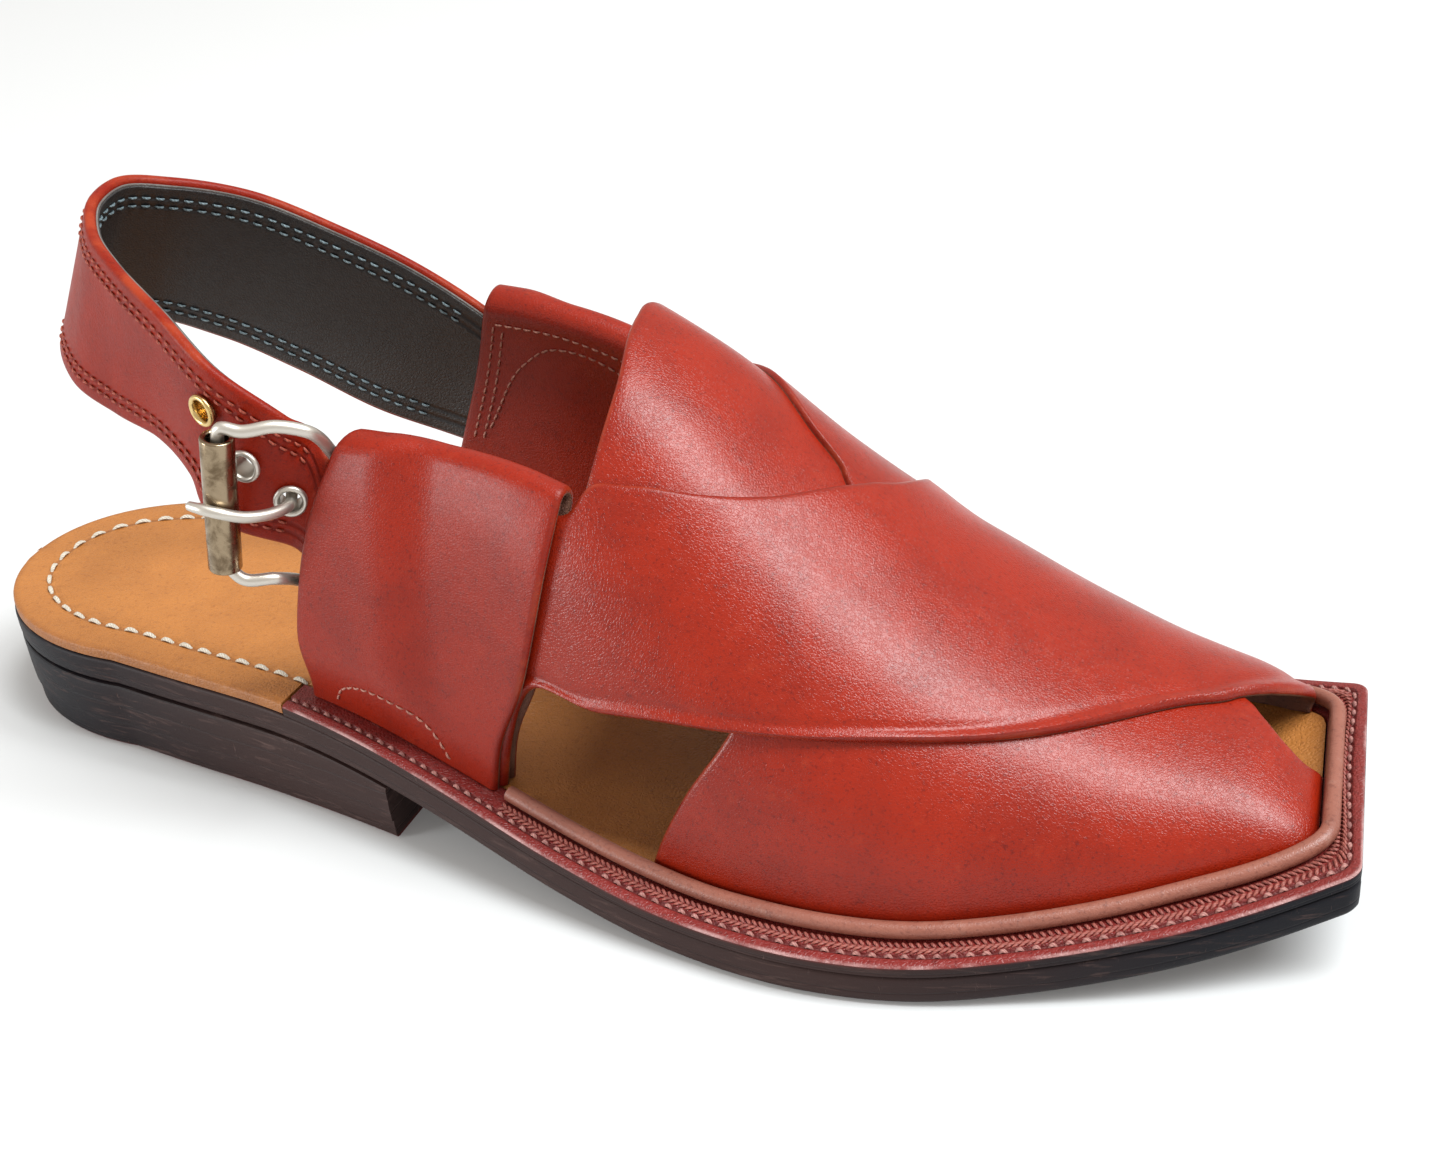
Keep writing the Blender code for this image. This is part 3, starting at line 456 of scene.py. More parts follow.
def curve_at(rows, shares):
    """Points at shares of the length of a smooth curve through (station, girth) points."""
    flat = np.array([(float(wrap(x)), g * GIRTH_SCALE) for x, g in rows])
    length = running(flat)
    path = read_off(np.linspace(0.0, length[-1], 500), length, flat, through)
    run = running(path)
    return read_off(np.asarray(shares) * run[-1], run, path)


def patch(start, end, front, back, a, b):
    """Stations and girths between four edges, at shares a along and b (one row for each a) across."""
    along_front, along_back = curve_at(front, a)[:, None], curve_at(back, a)[:, None]
    at_start, at_end = curve_at(start, b), curve_at(end, b)
    corner = [curve_at(rows, np.array([0.0, 1.0])) for rows in (front, back)]
    a, b = a[:, None, None], b[..., None]
    grid = (1 - b) * along_front + b * along_back + (1 - a) * at_start + a * at_end
    grid -= (1 - a) * ((1 - b) * corner[0][0] + b * corner[1][0])
    grid -= a * ((1 - b) * corner[0][1] + b * corner[1][1])
    x = unwrap(np.clip(grid[..., 0], 0.0, TOE_WRAP + TOE_GIRTH))
    return x, np.clip(grid[..., 1] / GIRTH_SCALE, -1.0, 1.0)


def spread(width, count, rim):
    """Distances across a sheet, closer together in the round of its two edges."""
    near = rim * np.array([0.0, 0.07, 0.26, 0.58])
    return np.concatenate([near, np.linspace(rim, width - rim, count), (width - near)[::-1]])


def half_thick(away, half, rim):
    """Half the thickness of a sheet, rounded off to nothing at its edges."""
    return half * np.sqrt(np.clip(1.0 - (1.0 - np.clip(away / rim, 0.0, 1.0)) ** 2, 0.0, 1.0))


def ripple(points, size):
    """Slow waves in pulled leather."""
    x, y, z = points[..., 0], points[..., 1], points[..., 2]
    wave = np.sin(x * 0.13 + y * 0.05 + 0.7) + 0.7 * np.sin(y * 0.21 - z * 0.11 + x * 0.04)
    return size * (wave + 0.5 * np.sin(z * 0.31 + x * 0.17 - y * 0.12 + 2.0))


def in_frame(points):
    """Shoe sizes in millimetres to the part's place in metres."""
    return (skewed(points) - centre_of_outline()) * MM


def grid_mesh(name, points):
    """A grid primitive moved onto rows of points, with its UV map in metres."""
    rows, columns = points.shape[:2]
    bpy.ops.object.select_all(action="DESELECT")
    bpy.ops.mesh.primitive_grid_add(x_subdivisions=columns - 1, y_subdivisions=rows - 1, size=1,
                                    calc_uvs=True)
    thing = bpy.context.object
    thing.name = name + "_look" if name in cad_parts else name
    thing.data.name = thing.name
    mesh = thing.data
    if len(mesh.vertices) != rows * columns:
        raise RuntimeError(f"the grid for {name} has the wrong number of corners")
    place = in_frame(points)
    mesh.vertices.foreach_set("co", place.astype(np.float32).reshape(-1))
    u = np.zeros((rows, columns))
    v = np.zeros((rows, columns))
    u[:, 1:] = np.cumsum(np.linalg.norm(np.diff(place, axis=1), axis=2), axis=1)
    v[1:] = np.cumsum(np.linalg.norm(np.diff(place, axis=0), axis=2).mean(1))[:, None]
    spots = np.zeros(len(mesh.loops), np.int32)
    mesh.loops.foreach_get("vertex_index", spots)
    uv = np.stack([u.reshape(-1)[spots], v.reshape(-1)[spots]], 1)
    mesh.uv_layers[0].name = "length"
    mesh.uv_layers[0].data.foreach_set("uv", uv.astype(np.float32).reshape(-1))
    return thing


def volume(mesh):
    """Six times the signed volume inside a mesh; it is negative where its faces point inwards."""
    mesh.calc_loop_triangles()
    corners = np.zeros(len(mesh.loop_triangles) * 3, np.int32)
    mesh.loop_triangles.foreach_get("vertices", corners)
    places = np.zeros(len(mesh.vertices) * 3, np.float32)
    mesh.vertices.foreach_get("co", places)
    a, b, c = places.reshape(-1, 3).astype(float)[corners].reshape(-1, 3, 3).transpose(1, 0, 2)
    return float((a * np.cross(b, c)).sum())


def finished(thing, surfaces, node, angle=40.0, caps=True):
    """Weld and close a piece, turn its faces outwards, shade it and place it on the frame."""
    for surface in surfaces:
        thing.data.materials.append(surface)
    bpy.context.view_layer.objects.active = thing
    bpy.ops.object.mode_set(mode="EDIT")
    bpy.ops.mesh.select_all(action="SELECT")
    bpy.ops.mesh.remove_doubles(threshold=2e-7)
    if caps:
        bpy.ops.mesh.select_all(action="DESELECT")
        bpy.ops.mesh.select_mode(type="EDGE")
        bpy.ops.mesh.select_non_manifold()
        bpy.ops.mesh.fill_holes(sides=0)
    bpy.ops.mesh.select_all(action="SELECT")
    bpy.ops.mesh.normals_make_consistent(inside=False)
    bpy.ops.object.mode_set(mode="OBJECT")
    if volume(thing.data) < 0:
        bpy.ops.object.mode_set(mode="EDIT")
        bpy.ops.mesh.flip_normals()
        bpy.ops.object.mode_set(mode="OBJECT")
    bpy.ops.object.shade_smooth_by_angle(angle=math.radians(angle))
    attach(thing, "root")
    if node:
        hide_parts(node)
    return thing


def float_layer(thing, name, values):
    """A length at each corner, kept in metres for the materials."""
    layer = thing.data.attributes.new(name, "FLOAT", "POINT")
    layer.data.foreach_set("value", (np.asarray(values, float) * MM).astype(np.float32).reshape(-1))


def loft(name, rows, surfaces, node, closed=False, layers=None, inner=None, angle=40.0):
    """A solid through like rings of points; inner holds the columns of the other material."""
    rows = np.concatenate([rows, rows[:, :1]], 1)
    layers = {key: np.concatenate([v, v[:, :1]], 1) for key, v in (layers or {}).items()}
    if closed:
        rows = np.concatenate([rows, rows[:1]], 0)
        layers = {key: np.concatenate([v, v[:1]], 0) for key, v in layers.items()}
    thing = grid_mesh(name, rows)
    for key, values in layers.items():
        float_layer(thing, key, values)
    if inner is not None:
        faces = np.arange(len(thing.data.polygons)) % (rows.shape[1] - 1)
        thing.data.polygons.foreach_set("material_index", np.isin(faces, inner).astype(np.int32))
    return finished(thing, surfaces, node, angle, not closed)


def sheet(name, upper, lower, away, surfaces, node, slot):
    """A closed sheet between its outward and inward faces, which meet at both edges."""
    ring = np.concatenate([upper, lower[:, -2:0:-1]], 1)
    edge = np.concatenate([away, away[:, -2:0:-1]], 1)
    return loft(name, ring, surfaces, node, layers={"edge": edge},
                inner=range(upper.shape[1] - 1, ring.shape[1]))


def edges_away(points, rim, count):
    """Widths of a sheet's rows and the distances wanted across each of them."""
    run = np.array([running(row) for row in points])
    want = np.array([spread(r[-1], count, min(rim, r[-1] / 2.4)) for r in run])
    return run, want


def strap_on_last(edges, lay_off, along, count, half, rim, fold=0.0, feet=True, wave=0.06):
    """Outward and inward faces of a strap pulled over the last, and the distance to its edges."""
    a = np.linspace(0.0, 1.0, along)
    b = np.tile(np.linspace(0.0, 1.0, 33), (along, 1))
    x, g = patch(*edges, a, b)
    run, want = edges_away(on_last(x, g, 0.0), rim, count)
    b = np.array([np.interp(w, r, np.linspace(0.0, 1.0, 33)) for w, r in zip(want, run)])
    x, g = patch(*edges, a, b)
    width = want[:, -1:]
    away = np.minimum(want, width - want)
    thick = half_thick(away, half, rim)
    base = on_last(x, g, 0.0)
    off = lay_off(x, g) + WALL / 2 + ripple(base, wave) * smooth(away / 6.0)
    off = off + fold * (np.exp(-((want - 1.5) / 1.1) ** 2) - 0.45 * np.exp(-((want - 4.2) / 1.3) ** 2))
    faces = [seated(on_last(x, g, off + thick)), seated(on_last(x, g, off - thick))]
    if feet:
        for face in faces:
            for row in (0, -1):
                face[row, :, 2] = top_height(face[row, :, 0]) + GAP
    return faces[0], faces[1], away


def tube_rows(path, radius, sides=16, closed=False):
    """Rings of points round a path; radius is one number or one for each point."""
    path = np.asarray(path, float)
    tangent = unit(np.roll(path, -1, 0) - np.roll(path, 1, 0) if closed else np.gradient(path, axis=0))
    radius = np.broadcast_to(np.asarray(radius, float), len(path))
    guide = np.array([0.0, 1.0, 0.0]) if abs(tangent[0][2]) > 0.8 else np.array([0.0, 0.0, 1.0])
    across = np.cross(tangent[0], guide)
    turn = np.arange(sides) * 2 * math.pi / sides
    rings = []
    for p, t, r in zip(path, tangent, radius):
        across = across - t * (across @ t)
        across /= np.linalg.norm(across)
        up = np.cross(t, across)
        rings.append(p + r * (np.cos(turn)[:, None] * across + np.sin(turn)[:, None] * up))
    return np.array(rings)


def stitches(name, starts, ends, normals, radius, surface, slot, rise=0.8):
    """Many short threads in one piece, each with its ends sunk in the leather."""
    t = np.array([0.0, 0.1, 0.3, 0.5, 0.7, 0.9, 1.0])
    size = np.array([0.0, 0.75, 1.0, 1.02, 1.0, 0.75, 0.0]) * radius
    lift = np.array([-0.8, -0.15, 0.75, 1.0, 0.75, -0.15, -0.8]) * rise * radius
    turn = np.arange(7) * 2 * math.pi / 6
    way = unit(ends - starts)
    side = unit(np.cross(way, normals))
    up = np.cross(side, way)
    middle = starts[:, None] + (ends - starts)[:, None] * t[None, :, None]
    middle = middle + up[:, None] * lift[None, :, None]
    ring = np.cos(turn)[:, None] * side[:, None] + np.sin(turn)[:, None] * up[:, None]
    points = middle[:, :, None] + ring[:, None] * size[None, :, None, None]
    points = points.reshape(-1, 7, 3)
    thing = grid_mesh(name, points)
    row = np.arange(len(thing.data.polygons)) // 6
    between = row % len(t) == len(t) - 1
    thing.data.materials.append(surface)
    bpy.ops.object.mode_set(mode="EDIT")
    bpy.ops.mesh.select_mode(type="FACE")
    bpy.ops.mesh.select_all(action="DESELECT")
    bpy.ops.object.mode_set(mode="OBJECT")
    thing.data.polygons.foreach_set("select", between)
    bpy.ops.object.mode_set(mode="EDIT")
    bpy.ops.mesh.delete(type="FACE")
    bpy.ops.object.mode_set(mode="OBJECT")
    return finished(thing, [], None, 60.0, False)


def along_path(points, normals, pitch, share=0.75):
    """Starts, ends and normals of even stitches along a path."""
    run = running(points)
    count = max(int(round(run[-1] / pitch)), 1)
    at = (np.arange(count) + 0.5) * run[-1] / count
    half = share * run[-1] / count / 2
    return [read_off(where, run, rows) for where, rows in
            ((at - half, points), (at + half, points), (at, normals))]


def upright(count):
    """Normals of a seam on a level face."""
    return np.tile([0.0, 0.0, 1.0], (count, 1))


def joined(parts):
    """Several sets of starts, ends and normals as one."""
    return [np.concatenate([part[k] for part in parts]) for k in range(3)]


# The loops and the heel strap as surfaces

def loop_line(rows, share):
    """Points of a loop's back or front line, as stations and girths."""
    flat = curve_at(rows, share)
    return unwrap(flat[..., 0]), flat[..., 1] / GIRTH_SCALE


def loop_middle(side, lines, lay_off, swell, shares):
    """Middle of a loop's folded sheet: rows from the outer foot over the fold to the inner foot."""
    upright = np.linspace(0.0, 1.0, 30)
    bend = np.linspace(0.0, math.pi, 13)
    back_x, back_g = loop_line(lines[0], upright)
    front_x, front_g = loop_line(lines[1], upright)
    columns = []
    for a in shares:
        x = back_x + (front_x - back_x) * a
        g = (back_g + (front_g - back_g) * a) * -side
        room = swell * (1.0 - smooth((x - 118.0) / 12.0)) * smooth(upright / 0.25)
        base = lay_off(x, g)
        high = WALL + GAP + room
        span = running(last_point(x, g))[-1]
        reach = (high[-1] + GAP + 2 * WALL) / 2
        keep = 1.0 - reach / span
        xs, gs, offs, highs = (np.interp(upright * keep, upright, row) for row in (x, g, base, high))
        outer = seated(on_last(xs, gs, offs + highs + WALL / 2))
        inner = seated(on_last(xs, gs, offs - GAP - WALL / 2))
        for face in (outer, inner):
            face[0, 2] = top_height(face[0, 0]) + GAP
        crest = last_point(xs[-1], gs[-1]) - last_point(xs[-2], gs[-2])
        crest /= np.linalg.norm(crest)
        centre, arm = (outer[-1] + inner[-1]) / 2, (outer[-1] - inner[-1]) / 2
        fold = [centre + arm * math.cos(t) + crest * np.linalg.norm(arm) * math.sin(t) for t in bend[1:-1]]
        columns.append(np.concatenate([outer, fold, inner[::-1]]))
    return np.array(columns).transpose(1, 0, 2)


def outward(middle, side):
    """Normals of a loop's sheet, pointing away from the inside of its fold."""
    along, across = np.gradient(middle, axis=0), np.gradient(middle, axis=1)
    normal = unit(np.cross(along, across))
    first = normal[10, normal.shape[1] // 2]
    return normal * (1.0 if first[1] * side > 0 else -1.0)


LOOPS = {
    "outer_loop": (-1, (LOOP_BACK, LOOP_FRONT), lay_off_top, 3.6),
    "inner_loop": (1, (INNER_LOOP_BACK, INNER_LOOP_FRONT), lay_off_under, 1.8),
}


def build_loop(name, surfaces):
    """A folded band that holds a strap's end."""
    side, lines, lay_off, swell = LOOPS[name]
    rim = 1.0
    shares = np.linspace(0.0, 1.0, 25)
    rough = loop_middle(side, lines, lay_off, swell, shares)
    width = np.linalg.norm(np.diff(rough, axis=1), axis=2).sum(1).mean()
    want = spread(width, 30, rim) / width
    middle = loop_middle(side, lines, lay_off, swell, want)
    normal = outward(middle, side)
    run = np.array([running(row) for row in middle])
    away = np.minimum(run, run[:, -1:] - run)
    thick = half_thick(away, WALL / 2, rim)[..., None]
    wave = (ripple(middle, 0.05) * smooth(away / 5.0))[..., None]
    upper = middle + normal * (thick + wave)
    lower = middle - normal * (thick - wave)
    for face in (upper, lower):
        for row in (0, -1):
            face[row, :, 2] = top_height(face[row, :, 0]) + GAP
    return sheet(name, upper, lower, away, surfaces, name, "red_leather")


def loop_seam(name, points, count=80, inside=False):
    """A path on a loop's face, through (share of the width, share of the height) points."""
    side, lines, lay_off, swell = LOOPS[name]
    table = np.asarray(points, float)
    length = running(table * [1.0, 1.6])
    a, r = read_off(np.linspace(0.0, length[-1], count), length, table, through).T
    shares = np.linspace(0.0, 1.0, 21)
    middle = loop_middle(side, lines, lay_off, swell, shares)
    normal = outward(middle, side)
    row = np.clip(len(middle) - 1 - r * 29 if inside else r * 29, 0, len(middle) - 1)
    low = np.clip(np.floor(row).astype(int), 0, len(middle) - 2)
    part = (row - low)[:, None]

    def read(rows):
        line, after = (np.array([read_off(s, shares, rows[i]) for s, i in zip(a, level)])
                       for level in (low, low + 1))
        return line + (after - line) * part

    place, face = read(middle), unit(read(normal))
    return place + face * (WALL / 2 + 0.03), face


FRAMES = strap_frames(420)


def strap_at(distance, rise, off):
    """Points of the heel strap's own space, for arrays of distances, rises and offsets."""
    even, middle, up, out, width, bow = FRAMES
    distance, rise, off = np.broadcast_arrays(*(np.asarray(v, float) for v in (distance, rise, off)))
    m, u, o = (read_off(distance, even, part) for part in (middle, up, out))
    w, b = np.interp(distance, even, width), np.interp(distance, even, bow)
    return m + u * rise[..., None] + o * (off + b * (0.3 - 4 * (rise / w) ** 2))[..., None]


def strap_sheet(name, inset, level, half, count, surfaces, node, wave):
    """A layer of the heel strap: how far its edges stay inside, and its level outwards."""
    even, _, _, _, width, _ = FRAMES
    distance = np.linspace(0.4, even[-1] - 0.4, 260)
    wide = np.interp(distance, even, width) - 2 * inset
    want = np.array([spread(w, count, half) for w in wide])
    away = np.minimum(want, wide[:, None] - want)
    thick = half_thick(away, half, half)
    rise = want - wide[:, None] / 2
    along = distance[:, None] + 0 * rise
    bump = wave * np.sin(along * 0.16 + rise * 0.09) * smooth(away / 6.0)
    upper = strap_at(along, rise, level + thick + bump)
    lower = strap_at(along, rise, level - thick)
    return sheet(name, upper, lower, away, surfaces, node, "red_leather")


def strap_seam(edge, inset, off, start=14.0, stop=14.0):
    """A path along the heel strap's upper (+1) or lower (-1) edge, and its normals."""
    even, _, _, _, width, _ = FRAMES
    distance = np.linspace(start, even[-1] - stop, 320)
    rise = edge * (np.interp(distance, even, width) / 2 - inset)
    points = strap_at(distance, rise, off)
    return points, unit(points - strap_at(distance, rise, off - np.sign(off)))


# The sole

def corner(x):
    """How far the sole's side draws in at the square toe's rounded corners."""
    near = np.clip((np.asarray(x, float) - (SHOE_LENGTH - TOE_CORNER)) / TOE_CORNER, 0.0, 1.0)
    return TOE_CORNER * (1.0 - np.sqrt(1.0 - near**2 * 0.98))


def slab(name, start, end, profile, surfaces, node, across=9, floor=False):
    """A layer of the sole: profile rows are (inset, height as a function of the station)."""
    heel = HEEL_ROUND * (1.0 - np.cos(np.linspace(0, math.pi / 2, 40)))
    toe = SHOE_LENGTH - np.array([2.2, 1.7, 1.2, 0.8, 0.45, 0.2, 0.06])
    inner = np.concatenate([heel[1:], np.arange(HEEL_ROUND + 1.6, SHOE_LENGTH - 2.6, 1.6), toe])
    xs = np.concatenate([[start], inner[(inner > start + 0.3) & (inner < end - 0.03)], [end]])
    sides = []
    for side in (-1, 1):
        line = []
        for inset, height in profile:
            at = xs.copy()
            at[0] += inset if start < 1.0 else 0.0
            at[-1] -= inset if end > 280 else 0.0
            y = inset_side(at, side, inset) - side * corner(at)
            line.append(np.stack([at, y, height(at)], 1))
        sides.append(line if side < 0 else line[::-1])
    share = np.linspace(0.0, 1.0, across + 2)[1:-1]
    over = [sides[0][-1] + (sides[1][0] - sides[0][-1]) * s for s in share]
    under = [sides[1][-1] + (sides[0][0] - sides[1][-1]) * s for s in share]
    ring = np.stack([*sides[0], *over, *sides[1], *under], 1)
    depth = top_height(ring[..., 0]) - ring[..., 2]
    if floor:
        depth = ring[..., 2]
    return loft(name, ring, surfaces, node, layers={"depth": depth})


def outline(inset, start, around):
    """The sole's edge moved inwards, from the outer side round the heel or the toe to the inner side."""
    sides = []
    for side in (-1, 1):
        if around == "heel":
            x = start * (1.0 - np.cos(np.linspace(math.pi / 2, 0, 120)))
        else:
            bend = TOE_CORNER * (1 - np.sin(np.linspace(0, math.pi / 2, 10)))
            x = np.concatenate([np.arange(start, SHOE_LENGTH - TOE_CORNER, 1.0), SHOE_LENGTH - bend])
        sides.append(np.stack([x, side_of_sole(x, side) - side * corner(x)], 1))
    join = [] if around == "heel" else [np.linspace(sides[0][-1], sides[1][-1], 50)[1:-1]]
    flat = np.concatenate([sides[0], *join, sides[1][::-1]])
    flat = flat[np.concatenate([[True], np.linalg.norm(np.diff(flat, axis=0), axis=1) > 0.02])]
    run = running(flat)
    flat = read_off(np.linspace(0.0, run[-1], 500), run, flat)
    tangent = unit(np.gradient(flat, axis=0))
    inward = np.stack([-tangent[:, 1], tangent[:, 0]], 1)
    return flat + (-inward if around == "heel" else inward) * inset


def build_insole(surfaces):
    """Insole with a soft edge at the heel; it knows the distance to its edge for the seam's channel."""
    lines = foot_outline(WALL - 0.15, 200)
    heel = HEEL_ROUND * (1.0 - np.cos(np.linspace(0.08, math.pi / 2, 46)))
    xs = np.concatenate([heel, np.arange(HEEL_ROUND + 1.5, WELT_START - 0.7, 1.5), [WELT_START - 0.6]])
    front = np.concatenate([[WELT_START - 0.4], np.arange(92.0, TOE_END - 8, 1.8),
                            np.linspace(TOE_END - 7, TOE_END + WALL - 0.15, 20)])
    insets = [(0.4, -TOP_LAYER), (0.4, -0.7), (0.5, -0.35), (0.75, -0.1), (1.2, 0.0)]
    rows = []
    for x in np.concatenate([xs, front]):
        sides = []
        for side in (-1, 1):
            if x < WELT_START - 0.5:
                edge = float(inset_side(x, side, 0.4))
            else:
                edge = float(np.interp(x, *lines[0 if side < 0 else 1]))
            sides.append([(x, edge - side * min(inset - 0.4, abs(edge) * 0.3), top_height(x) + rise)
                          for inset, rise in insets])
        left, right = np.array(sides[0]), np.array(sides[1][::-1])
        share = np.linspace(0.0, 1.0, 36)[1:-1, None]
        rows.append(np.concatenate([left, left[-1] + (right[0] - left[-1]) * share, right]))
    rows = np.array(rows)
    rim = outline(0.0, 130.0, "heel")
    away = np.sqrt(((rows[..., None, :2] - rim[::3]) ** 2).sum(-1)).min(-1)
    return loft("insole", rows, surfaces, "insole", layers={"edge": away}, angle=50.0)


def welt_contour():
    """Matching points of the welt's outer and inner edge, from the outer side round the toe."""
    outer = outline(0.0, WELT_START, "toe")
    lines = foot_outline(WALL + 0.15, 400)
    low, high = (np.stack(line, 1) for line in lines)
    low, high = low[low[:, 0] >= WELT_START], high[high[:, 0] >= WELT_START]
    inner = np.concatenate([low, high[::-1]])

    def cut(flat):
        middle = len(flat) // 2
        first = int(np.argmax(flat[:middle, 0] > WELT_SPLIT))
        last = len(flat) - int(np.argmax(flat[::-1][:middle, 0] > WELT_SPLIT))
        parts = []
        for part, count in ((flat[:first + 1], 190), (flat[first:last], 150), (flat[last - 1:], 190)):
            run = running(part)
            parts.append(read_off(np.linspace(0.0, run[-1], count), run, part))
        return np.concatenate([parts[0][:-1], parts[1][:-1], parts[2]])

    return cut(outer), cut(inner)


def welt_at(outer, inner, distance, rise):
    """Points on the welt at a distance from its outer edge."""
    width = np.linalg.norm(inner - outer, axis=1)
    part = np.clip(np.asarray(distance, float) / width, 0.0, 1.0)[:, None]
    flat = outer + (inner - outer) * part
    return np.column_stack([flat, top_height(flat[:, 0]) + rise])


def build_welt(surfaces, contour):
    """The flat rim round the forefoot, with a worn outer edge and a channel for its stitches."""
    outer, inner = contour
    width = np.linalg.norm(inner - outer, axis=1)
    rows = [(0.0, -TOP_LAYER), (0.0, -0.9), (0.08, -0.45), (0.3, -0.12), (0.7, 0.02), (1.6, 0.06),
            (2.2, -0.02), (2.5, -0.3), (WELT_SEAM, -0.4), (3.0, -0.3), (WELT_RIM, 0.0)]
    ring = [welt_at(outer, inner, d + 0 * width, h) for d, h in rows]
    edge = [d + 0 * width for d, _ in rows]
    for share in (0.25, 0.5, 0.75):
        d = WELT_RIM + (width - WELT_RIM) * share
        ring.append(welt_at(outer, inner, d, 0.0))
        edge.append(d)
    for height in (0.0, -TOP_LAYER):
        ring.append(welt_at(outer, inner, width, height))
        edge.append(width)
    ring = np.stack(ring, 1)
    layers = {"edge": np.stack(edge, 1), "depth": top_height(ring[..., 0]) - ring[..., 2]}
    sides = [0, 1, ring.shape[1] - 1]
    return loft("welt", ring, surfaces, "welt", layers=layers, inner=sides)


def piping_path(count=420):
    """Middle of the cord round the foot of the upper."""
    lines = foot_outline(WALL + GAP + CORD_RADIUS, 200)
    outer, inner = (np.stack(line, 1) for line in lines)
    flat = np.concatenate([outer[outer[:, 0] > CORD_START], inner[inner[:, 0] > CORD_START][::-1]])
    run = running(flat)
    x, y = read_off(np.linspace(0.0, run[-1], count), run, flat).T
    return np.stack([x, y, top_height(x) + GAP + CORD_RADIUS], 1)


# Materials

def node(tree, kind, **settings):
    """A shader node with its settings; feed moves it to the right of what it takes its values from."""
    made = tree.nodes.new(kind)
    made.location = (0, -240 * (len(tree.nodes) % 9))
    for key, value in settings.items():
        setattr(made, key, value)
    return made


def feed(tree, target, value):
    """Link an output to an input, or set a plain value on it."""
    if hasattr(value, "is_output"):
        tree.links.new(value, target)
        target.node.location.x = max(target.node.location.x, value.node.location.x + 220)
    else:
        target.default_value = value


def maths(tree, operation, *values, clamp=False):
    """A maths node's result."""
    made = node(tree, "ShaderNodeMath", operation=operation, use_clamp=clamp)
    for target, value in zip(made.inputs, values):
        feed(tree, target, value)
    return made.outputs[0]


def times(tree, first, second):
    """The product of two values."""
    return maths(tree, "MULTIPLY", first, second)


def blend(tree, factor, first, second):
    """Two colours mixed by a factor."""
    made = node(tree, "ShaderNodeMix", data_type="RGBA")
    for k, value in ((0, factor), (6, first), (7, second)):
        feed(tree, made.inputs[k], value)
    return made.outputs[2]


def ranged(tree, value, low, high, out_low=0.0, out_high=1.0):
    """A value remapped by a soft step."""
    made = node(tree, "ShaderNodeMapRange", interpolation_type="SMOOTHSTEP")
    for target, given in zip(made.inputs, (value, low, high, out_low, out_high)):
        feed(tree, target, given)
    return made.outputs[0]


def noise(tree, vector, scale, detail=3.0, rough=0.5, bend=0.0):
    """Smooth noise."""
    made = node(tree, "ShaderNodeTexNoise")
    for key, value in (("Vector", vector), ("Scale", scale), ("Detail", detail), ("Roughness", rough),
                       ("Distortion", bend)):
        feed(tree, made.inputs[key], value)
    return made.outputs[0]


def stretched(tree, vector, scale):
    """The coordinates scaled on each axis."""
    made = node(tree, "ShaderNodeMapping")
    feed(tree, made.inputs["Vector"], vector)
    made.inputs["Scale"].default_value = scale
    return made.outputs[0]


def group(name, **inputs):
    """A node group with named inputs, which gives a colour, a roughness and a height."""
    tree = bpy.data.node_groups.new(name, "ShaderNodeTree")
    for label, value in {"Vector": None, **inputs}.items():
        kind = "Vector" if value is None else "Float" if isinstance(value, float) else "Color"
        made = tree.interface.new_socket(label.replace("_", " "), in_out="INPUT",
                                         socket_type="NodeSocket" + kind)
        if value is not None:
            made.default_value = value
    for label, kind in (("Colour", "Color"), ("Roughness", "Float"), ("Height", "Float")):
        tree.interface.new_socket(label, in_out="OUTPUT", socket_type="NodeSocket" + kind)
    return tree, node(tree, "NodeGroupInput").outputs, node(tree, "NodeGroupOutput").inputs


def result(tree, wanted, *values):
    """Feed the outputs of a node group."""
    for target, value in zip(wanted, values):
        feed(tree, target, value)
    return tree


